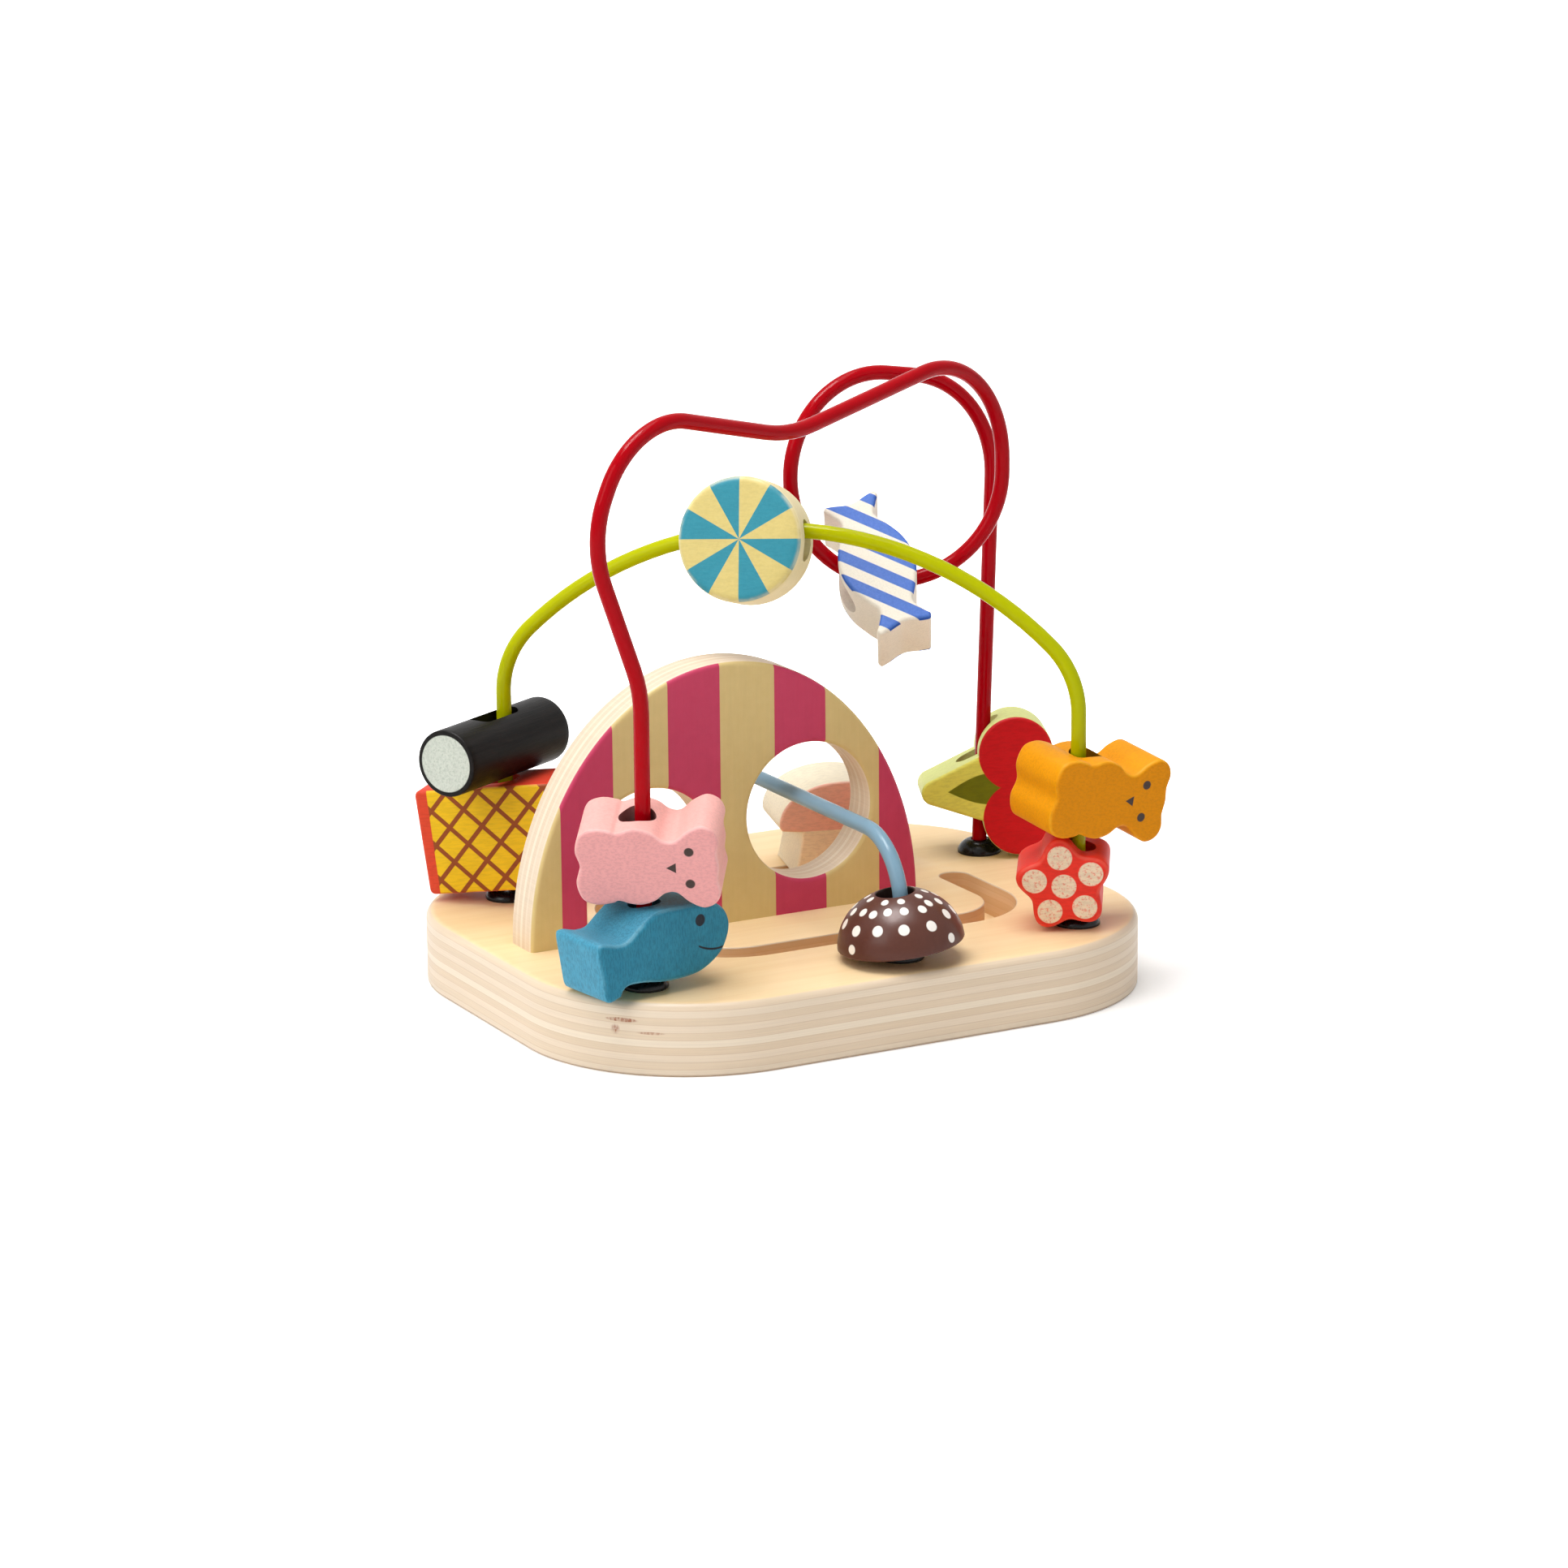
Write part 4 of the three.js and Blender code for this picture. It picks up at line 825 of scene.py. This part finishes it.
def mushroom_finish():
    """A coral cap and a tan stem on the faces, split at the cap's rim, with cream sides."""
    finish = Finish("mushroom_coral")
    cap = finish.step(finish.z, CAP_RIM - 0.35, CAP_RIM - 0.1)
    colour = finish.mix(cap, tint(255, 232, 196), tint(252, 190, 166))
    colour = finish.mix(finish.face(MUSHROOM_THICK, MUSHROOM_PRINT_ROUND), tint(246, 234, 206), colour)
    return finish.painted(colour, worn=CREAM, thick=MUSHROOM_THICK, rounding=MUSHROOM_PRINT_ROUND)


# Pieces

def track_outline():
    """The track's outline: its bent path moved half a width to each side, with a half circle at each end."""
    corners = [(TRACK_RIGHT_X, TRACK_FRONT_END_Y, 0), (TRACK_RIGHT_X, TRACK_FRONT_Y, 0),
               (DOOR_X, TRACK_FRONT_Y, 0), (DOOR_X, TRACK_BACK_Y, 0), (TRACK_BACK_END_X, TRACK_BACK_Y, 0)]
    place, way = bent_path(corners, [TRACK_BEND] * 3)
    place, way = place[:, :2], way[:, :2]
    aside = np.stack([-way[:, 1], way[:, 0]], axis=1) * TRACK_WIDTH / 2
    ends = []
    for spot, facing in ((place[-1], way[-1]), (place[0], -way[0])):
        turn = math.degrees(math.atan2(facing[1], facing[0]))
        ends.append(arc(spot[0], spot[1], TRACK_WIDTH / 2, turn + 90, turn - 90, 15)[1:-1])
    return np.concatenate([place + aside, ends[0], (place - aside)[::-1], ends[1]])


def make_base():
    """A board with round corners and a rounded top edge; the track and six wire seats are cut from above."""
    hx, hy = BASE_LENGTH / 2 - BASE_CORNER, BASE_WIDTH / 2 - BASE_CORNER
    corners = ((hx, hy, 0), (-hx, hy, 90), (-hx, -hy, 180), (hx, -hy, 270))
    outline = np.concatenate([arc(x, y, BASE_CORNER, start, start + 90, 31) for x, y, start in corners])
    angle = np.linspace(0, math.pi / 2, 7)
    top = np.stack([BASE_ROUND * (np.sin(angle) - 1), BASE_ROUND * (1 - np.cos(angle)) - TOP], axis=1)
    side_and_foot = [[0, -12.0], [0, -6.0], [0, -0.6], [-0.18, -0.18], [-0.6, 0], [-1.4, 0]]
    profile = np.concatenate([[[-BASE_ROUND - 1, -TOP]], top, side_and_foot])
    board = plate("base", spaced(outline, 6.0), profile, lying=True)
    angle = np.linspace(0, math.pi / 2, 4)
    lip = np.stack([TRACK_LIP * (1 - np.sin(angle)), TRACK_LIP * (1 - np.cos(angle)) - TOP], axis=1)
    walls = np.concatenate([[[TRACK_LIP, -TOP - 2]], lip, [[0, TRACK_DEPTH - TOP]]])
    track = plate("track", track_outline(), walls, lying=True)
    seat_z, seat_radius, seat_length = TOP - SEAT_DEPTH / 2 + 1, WIRE_RADIUS + SEAT_CLEAR, SEAT_DEPTH + 2
    seats = [rod(x, y, seat_z, seat_radius, seat_length) for x, y in FEET.values()]
    carve(board, track, *seats)
    settle(board, "base_board", IN_PLACE, base_finish())


def make_panel():
    """A standing half oval with a doorway, cut level at the foot, and a round window with eased edges."""
    under = 3 * PANEL_ROUND
    door = DOOR_X - PANEL_X
    outline = np.concatenate([
        [[-PANEL_HALF_WIDTH, -under], [door - DOOR_HALF_WIDTH, -under]],
        arc(door, DOOR_SPRING, DOOR_HALF_WIDTH, 180, 0, 40),
        [[door + DOOR_HALF_WIDTH, -under], [PANEL_HALF_WIDTH, -under]],
        arc(0, 0, PANEL_HALF_WIDTH, 0, 180, 90, PANEL_HEIGHT / PANEL_HALF_WIDTH)])
    panel = plate("panel", spaced(outline, 5.0), edge_profile(PANEL_THICK, PANEL_ROUND))
    below = np.array([[-90.0, -9.0], [90.0, -9.0], [90.0, 0.0], [-90.0, 0.0]])
    foot = plate("foot", below, np.array([[0, -20.0], [0, 20.0]]))
    flare = edge_profile(PANEL_THICK, PANEL_ROUND)[1:-1] * [-1, 1]
    flare = np.concatenate([[[PANEL_ROUND, -PANEL_THICK]], flare, [[PANEL_ROUND, PANEL_THICK]]])
    window = plate("window", arc(WINDOW_X - PANEL_X, WINDOW_Z, WINDOW_RADIUS, 0, 356, 90), flare)
    carve(panel, foot, window)
    settle(panel, "arch_panel", pose((PANEL_X, PANEL_FRONT_Y + PANEL_THICK / 2, TOP)), panel_finish())


def make_wires():
    """The three wires: each a circle carried along straight runs and bends."""
    seat = REST_GAP - SEAT_DEPTH
    across = LOOP_RADIUS * np.array([math.cos(LOOP_TURN), -math.sin(LOOP_TURN)])
    right, left = LOOP_CENTRE + across, LOOP_CENTRE - across
    lean = RED_FRONT + [-15.0, 0]
    red = bent_path(
        [raised(RED_FRONT, seat), raised(RED_FRONT, 0.52 * RED_HEIGHT), raised(lean, 0.7816 * RED_HEIGHT),
         raised(RED_FRONT + [-1.0, 0], 0.9927 * RED_HEIGHT), raised((-13.1, -31.8), 0.9005 * RED_HEIGHT),
         raised(right, RED_HEIGHT), raised(right, LOOP_BOTTOM), raised(left, LOOP_BOTTOM),
         raised(left, 0.9606 * RED_HEIGHT), raised(RED_REAR + [5.3, 0], 0.8902 * RED_HEIGHT),
         raised(RED_REAR, COLLAR_HEIGHT), raised(RED_REAR, seat)],
        [38.5, 36.0, 24.8, 51.8, 31.4, LOOP_RADIUS, LOOP_RADIUS, 28.9, 33.0, 30.0])
    middle = (LIME_REAR + LIME_FRONT) / 2
    lime = bent_path(
        [raised(LIME_REAR, seat), raised(LIME_REAR, LIME_SHOULDER), raised(middle, LIME_PEAK),
         raised(LIME_FRONT, LIME_SHOULDER), raised(LIME_FRONT, seat)],
        [LIME_SHOULDER_BEND, LIME_CROWN_BEND, LIME_SHOULDER_BEND], step_angle=2.5)
    square = np.array([LIME_REAR[1] - LIME_FRONT[1], LIME_FRONT[0] - LIME_REAR[0], 0])
    blue = bent_path(
        [raised(BLUE_FRONT, seat), raised(BLUE_FRONT, BLUE_HEIGHT),
         raised(BLUE_REAR, BLUE_HEIGHT), raised(BLUE_REAR, seat)], [BLUE_BEND, BLUE_BEND])
    red_coat = coated("red_coat", tint(182, 0, 18), tint(166, 0, 12))
    lime_coat = coated("lime_coat", tint(186, 190, 0), tint(174, 178, 0))
    blue_coat = coated("blue_coat", tint(132, 165, 184), tint(120, 154, 174), specular=0.12)
    for name, path, reference, coat in (("red", red, (0, 1, 0), red_coat), ("lime", lime, square, lime_coat),
                                        ("blue", blue, (1, 0, 0), blue_coat)):
        wire = tube(name + "_wire", path, WIRE_RADIUS, WIRE_SIDES, reference)
        settle(wire, "wire_" + name, IN_PLACE, coat)


def make_collars():
    """Six low domed rings, one round each wire foot."""
    inner = WIRE_RADIUS + SEAT_CLEAR
    dome = bezier([(COLLAR_RADIUS, COLLAR_SHOULDER), (COLLAR_RADIUS - 0.3, COLLAR_HEIGHT * 0.5),
                   (COLLAR_RADIUS - 2, COLLAR_HEIGHT), (inner + 0.3, COLLAR_HEIGHT)])
    foot_ring = [[inner, 0], [COLLAR_RADIUS - 0.15, 0], [COLLAR_RADIUS, 0.2]]
    profile = np.concatenate([foot_ring, dome, [[inner, COLLAR_HEIGHT - 0.2]]])
    finish = collar_finish()
    for name, foot in FEET.items():
        settle(turned("collar_ring_" + name, profile, 56), "collar_" + name, pose(raised(foot, 0)), finish)


def make_fish():
    """A fish with a straight tail edge and a curved body, bored upright for the wire."""
    tail = [(-1, 0.78), (-0.864, 0.053)]
    belly = [(-0.703, 0.091), (-0.576, 0.228), (-0.339, 0.24), (0, 0.2015), (0.367, 0.2085), (0.615, 0.262)]
    head = [(0.853, 0.395), (0.963, 0.551), (1, 0.707), (0.94, 0.852), (0.798, 0.954), (0.55, 0.992)]
    back = [(0.225, 1), (-0.144, 0.985), (-0.381, 0.852), (-0.555, 0.73), (-0.72, 0.715)]
    curve = np.concatenate([spline(tail[1:] + belly + head + back, closed=False), tail[:1]])
    stretch = np.where(curve[:, 0] > 0, FISH_AHEAD, FISH_BEHIND)
    curve = curve * np.stack([stretch, np.full(len(curve), FISH_BACK)], axis=1)
    heel, body, tip = curve[0], curve[11:-1], curve[-1]
    outline = np.concatenate([eased(body[-1], tip, heel, FISH_TAIL_EASE),
                              eased(tip, heel, body[0], FISH_TAIL_EASE), body])
    fish = plate("fish", spaced(outline), edge_profile(FISH_THICK, FISH_ROUND, steps=5, inset=0.25))
    carve(fish, rod(0, 0, FISH_BACK / 2, FISH_BORE, 80))
    settle(fish, "bead_fish", on_leg(RED_FRONT, -1.4, yaw=8), fish_finish())


def bear_outline():
    """A bear on its side, head to the right: a curve through its upper half and the same points mirrored."""
    half = BEAR_LENGTH / 2
    upper = np.array([(-half, 5), (-half + 1.6, 10), (-half + 5.6, 11.7), (-10.4, 11.2), (-8.4, 10.5),
                      (-5.4, 11.4), (-2, 11.7), (1.6, 10.5), (4.6, 8.2), (7.8, 8.0), (11.2, 10.8),
                      (half - 5, 12.6), (half - 1.5, 11.2), (half, 8), (half - 0.6, 4)])
    return spline(np.concatenate([[[-half + 1.2, 0]], upper, [[half - 0.2, 0]], upper[::-1] * [1, -1]]))


def make_bears():
    """Two bears, bored across the body for the wire."""
    pink = on_leg(RED_FRONT, 39.7, yaw=-33, pitch=-11, roll=1, shift=2.3)
    orange = on_leg(LIME_FRONT, 40.6, yaw=2, pitch=-5, roll=-8.5, shift=4.1)
    pink_paint = tint(236, 166, 164), tint(248, 184, 176), tint(252, 206, 200)
    orange_paint = tint(225, 140, 1), tint(234, 153, 3), tint(246, 184, 50)
    for name, placing, paint in (("pink", pink, pink_paint), ("orange", orange, orange_paint)):
        bear = plate(name + "_bear", bear_outline(), edge_profile(BEAR_THICK, EDGE_ROUND))
        carve(bear, rod(BEAR_BORE_X, 0, 0, BEAR_BORE, 60))
        settle(bear, "bead_bear_" + name, placing, bear_finish("bear_" + name, *paint))


def make_flower():
    """A five-lobed flower: its radius swells with the cosine of five times the angle."""
    angle = np.linspace(0, 2 * math.pi, 150, endpoint=False)
    reach = FLOWER_RADIUS + FLOWER_LOBE * np.cos(FLOWER_LOBES * (angle - FLOWER_TURN))
    outline = np.stack([reach * np.cos(angle), reach * np.sin(angle)], axis=1)
    flower = plate("flower", outline, edge_profile(FLOWER_THICK, FLOWER_ROUND))
    carve(flower, rod(FLOWER_BORE_X, 0, 0, FLOWER_BORE, 60))
    settle(flower, "bead_flower", on_leg(LIME_FRONT, 14.7, yaw=-33, pitch=-2.5, shift=-3.7), flower_finish())


def make_cherries():
    """A stalk end and two round fruits as three arcs joined by straight sides, slotted for the wire."""
    outline = np.concatenate([
        arc(-14.8, 0, 4.0, 118, 242, 20),
        arc(CHERRY_LOBE_X, -CHERRY_LOBE_Z, CHERRY_LOBE, 180, 405, 60),
        arc(CHERRY_LOBE_X, CHERRY_LOBE_Z, CHERRY_LOBE, -45, 180, 60)])
    cherries = plate("cherries", spaced(outline), edge_profile(CHERRY_THICK, EDGE_ROUND))
    carve(cherries, slot_cutter(14.0, 9.0, BORE_REACH))
    placing = on_leg(RED_REAR, 21.4, yaw=-26, pitch=4, roll=4, shift=0.4, back=CHERRY_BACK)
    settle(cherries, "bead_cherries", placing, cherry_finish())


def make_waffle():
    """A block a little wider at the top, with soft corners, bored upright."""
    top, foot, half = WAFFLE_TOP / 2, WAFFLE_FOOT / 2, WAFFLE_HEIGHT / 2
    sides = []
    for x, z in ((foot, -half), (top, half), (-top, half), (-foot, -half)):
        sx, sz = math.copysign(WAFFLE_CORNER, x), math.copysign(WAFFLE_CORNER, z)
        ends = [(x - sx, z), (x, z), (x, z - sz)]
        sides.append(bezier(ends if x * z < 0 else ends[::-1], 8))
    edge = edge_profile(WAFFLE_THICK, WAFFLE_ROUND, steps=4, inset=0.2)
    waffle = plate("waffle", spaced(np.concatenate(sides)), edge)
    carve(waffle, rod(0, 0, 0, WAFFLE_BORE, 70))
    settle(waffle, "bead_waffle", on_leg(LIME_REAR, 20.8, yaw=-45, roll=7), waffle_finish())


def make_liquorice():
    """A round stick along X with eased ends and a slot through its middle."""
    ends = edge_profile(ROLL_LENGTH, ROLL_ROUND, steps=4, rows=24, inset=0.6)
    roll = plate("liquorice", arc(0, 0, ROLL_RADIUS, 0, 355, 72), ends)
    points = points_of(roll.data)
    put_points(roll.data, np.stack([points[:, 1], -points[:, 0], points[:, 2]], axis=1))
    carve(roll, slot_cutter(20.0, 7.0, 50))
    settle(roll, "bead_liquorice", on_leg(LIME_REAR, 47.9, yaw=30, shift=-5.2), liquorice_finish())


def make_disc():
    """A round sweet on the crown of the lime arch, with a standing slot through it along the wire."""
    run = LIME_FRONT - LIME_REAR
    span = np.linalg.norm(run)
    centre = LIME_PEAK - LIME_CROWN_BEND / math.sin(math.atan2(span / 2, LIME_PEAK - LIME_SHOULDER))
    lean = math.asin((DISC_ALONG - span / 2) / LIME_CROWN_BEND)
    at = (*(LIME_REAR + run * DISC_ALONG / span), TOP + centre + LIME_CROWN_BEND * math.cos(lean))
    disc = plate("disc", arc(0, 0, DISC_RADIUS, 0, 356, 90), edge_profile(DISC_THICK, SOFT_ROUND))
    carve(disc, slot_cutter(12.4, 7.6, 80, standing=True))
    yaw, roll = math.degrees(math.atan2(run[1], run[0])) - 3, -3.5 - math.degrees(lean)
    settle(disc, "bead_disc", pose(at, yaw, pitch=15, roll=roll, shift=(0, 0, -3)), disc_finish())


def make_candy():
    """A wrapped sweet: one quarter of its outline mirrored four ways and curved through, slotted along X."""
    quarter = np.array([(11.3, 0), (10.17, 6.08), (7.46, 11.48), (5.3, 15.5), (7.2, 19.4), (8.5, 21.3),
                        (7.8, 22.7), (5.6, 22.5), (0, 21.2)])
    ahead, back = quarter[:-1], quarter[:0:-1]
    loop = np.concatenate([ahead, back * [-1, 1], ahead * [-1, -1], back * [1, -1]])
    candy = plate("candy", spaced(spline(loop)), edge_profile(CANDY_THICK, EDGE_ROUND, steps=5, inset=0.25))
    carve(candy, slot_cutter(19.2, 13.6, BORE_REACH, standing=True, up=2.6))
    loop_way = np.array([math.cos(LOOP_TURN), -math.sin(LOOP_TURN)])
    along = LOOP_CENTRE + LOOP_RADIUS * math.sin(CANDY_SWING) * loop_way
    at = (*along, TOP + LOOP_BOTTOM + LOOP_RADIUS * (1 - math.cos(CANDY_SWING)))
    placing = pose(at, yaw=-30, pitch=39, roll=22, shift=(0, -1.7, -0.7))
    settle(candy, "bead_wrapped_candy", placing, candy_finish())


def make_dome():
    """A half ball with a bore: a quarter of an ellipse turned about the wire."""
    low = math.asin(DOME_LIP / DOME_RISE)
    high = math.acos((DOME_BORE + DOME_LIP) / DOME_RADIUS)
    angle = np.linspace(low, high, 34)
    shell = np.stack([DOME_RADIUS * np.cos(angle), DOME_RISE * np.sin(angle)], axis=1)
    crown = shell[-1, 1]
    foot = [[DOME_BORE, 0], [DOME_RADIUS - 0.9, 0], [DOME_RADIUS - 0.3, 0.15]]
    mouth = [[DOME_BORE + 0.2, crown - 0.1], [DOME_BORE, crown - DOME_LIP]]
    dome = turned("dome", np.concatenate([foot, shell, mouth]), 96)
    settle(dome, "bead_dome", on_leg(BLUE_FRONT, 4.3, yaw=-28, roll=6.7), dome_finish())


def make_mushroom():
    """A mushroom outline of short curves, mirrored, with a round peg below that runs in the track."""
    foot, high, wide = REST_GAP, MUSHROOM_HEIGHT, MUSHROOM_HALF_WIDTH
    right = np.concatenate([
        [[0, foot]],
        bezier([(15.0, foot), (13.3, CAP_RIM / 2), (12.7, CAP_RIM - 0.6)], 10),
        bezier([(wide - 1.2, CAP_RIM), (wide, CAP_RIM + 0.6), (wide, CAP_RIM + 2.6)], 8),
        bezier([(wide, CAP_RIM + 2.6), (wide - 0.6, high - 4.4), (wide / 2, high), (0, high)], 26)[1:-1]])
    outline = np.concatenate([right, [[0, high]], right[:0:-1] * [-1, 1]])
    edge = edge_profile(MUSHROOM_THICK, MUSHROOM_ROUND, steps=4, inset=0.2)
    mushroom = plate("mushroom", spaced(outline), edge)
    carve(mushroom, rod(0, 0, foot - 2.5, TRACK_WIDTH / 2 - 0.6, 11.0), operation="UNION")
    settle(mushroom, "bead_mushroom", pose((MUSHROOM_X, TRACK_BACK_Y, TOP), yaw=-16), mushroom_finish())


# Stage

def set_up(name, data, right, up, back, place):
    """An object for a camera or lamp: its three ways and its place are the columns of its matrix."""
    matrix = np.eye(4)
    matrix[:3] = np.stack([right, up, back, place], axis=1)
    thing = bpy.data.objects.new(name, data)
    thing.matrix_world = Matrix(matrix.tolist())
    bpy.context.scene.collection.objects.link(thing)
    return thing


def make_camera():
    """A camera on the photograph's line of sight: back along it by the distance, then aside and up."""
    flat = math.cos(VIEW_RISE)
    sight = np.array([math.sin(VIEW_TURN) * flat, -math.cos(VIEW_TURN) * flat, math.sin(VIEW_RISE)])
    level = np.array([math.cos(VIEW_TURN), math.sin(VIEW_TURN), 0])
    upright = np.cross(sight, level)
    right = math.cos(VIEW_ROLL) * level + math.sin(VIEW_ROLL) * upright
    up = math.cos(VIEW_ROLL) * upright - math.sin(VIEW_ROLL) * level
    place = right * VIEW_ASIDE + up * VIEW_UP + sight * VIEW_DISTANCE - VIEW_FROM + ORIGIN
    data = bpy.data.cameras.new("camera")
    data.sensor_fit = "HORIZONTAL"
    data.sensor_width = SENSOR
    data.lens = SENSOR * FOCAL_PIXELS / FRAME_PIXELS
    data.clip_end = 20.0
    bpy.context.scene.camera = set_up("camera", data, right, up, sight, place * MM)


def make_lamp(name, place, size, power, gloss_only):
    """A square soft box that shines on the aim; a gloss-only one is left out of diffuse light."""
    data = bpy.data.lights.new(name, "AREA")
    data.shape = "SQUARE"
    data.size = size
    data.energy = power
    back = unit(np.subtract(place, LAMP_AIM))
    side = unit(np.cross(UPRIGHT, back))
    lamp = set_up(name, data, side, np.cross(back, side), back, place)
    lamp.visible_diffuse = not gloss_only


def make_floor():
    """A white floor that keeps the shadow: it glows to seen rays, a little near the toy and fully far off."""
    corners = np.array([(-1, -1, 0), (1, -1, 0), (1, 1, 0), (-1, 1, 0)]) * FLOOR_SIZE
    floor = mesh_object("floor", corners, [[0, 1, 2, 3]])
    finish = Finish("floor_white", roughness=0.9, specular=0.0)
    finish.inputs["Base Color"].default_value = (0.9, 0.9, 0.9, 1)
    finish.inputs["Emission Color"].default_value = (1, 1, 1, 1)
    position = finish.take("Position", "ShaderNodeNewGeometry")
    reach = finish.take("Value", "ShaderNodeVectorMath", position, operation="LENGTH")
    glow = finish.spread(finish.step(reach, *SHADOW_REACH), FLOOR_LIFT, 1.0)
    finish.feed(finish.inputs["Emission Strength"], finish.seen() * glow)
    floor.data.materials.append(finish.material)


def make_stage():
    """The floor, an even sky that looks white, soft boxes left, above and in front, and one for gloss."""
    make_floor()
    world = bpy.data.worlds.new("sky")
    world.use_nodes = True
    sky = Tree(world.node_tree)
    background = sky.nodes["Background"]
    background.inputs["Color"].default_value = (1, 1, 1, 1)
    sky.feed(background.inputs["Strength"], sky.spread(sky.seen(), SKY_LEVEL, 1.0))
    bpy.context.scene.world = world
    for lamp in LAMPS:
        make_lamp(*lamp)
    bpy.context.scene.view_settings.view_transform = "Standard"


make_camera()
make_stage()
make_base()
make_panel()
make_wires()
make_collars()
make_fish()
make_bears()
make_flower()
make_cherries()
make_waffle()
make_liquorice()
make_disc()
make_candy()
make_dome()
make_mushroom()
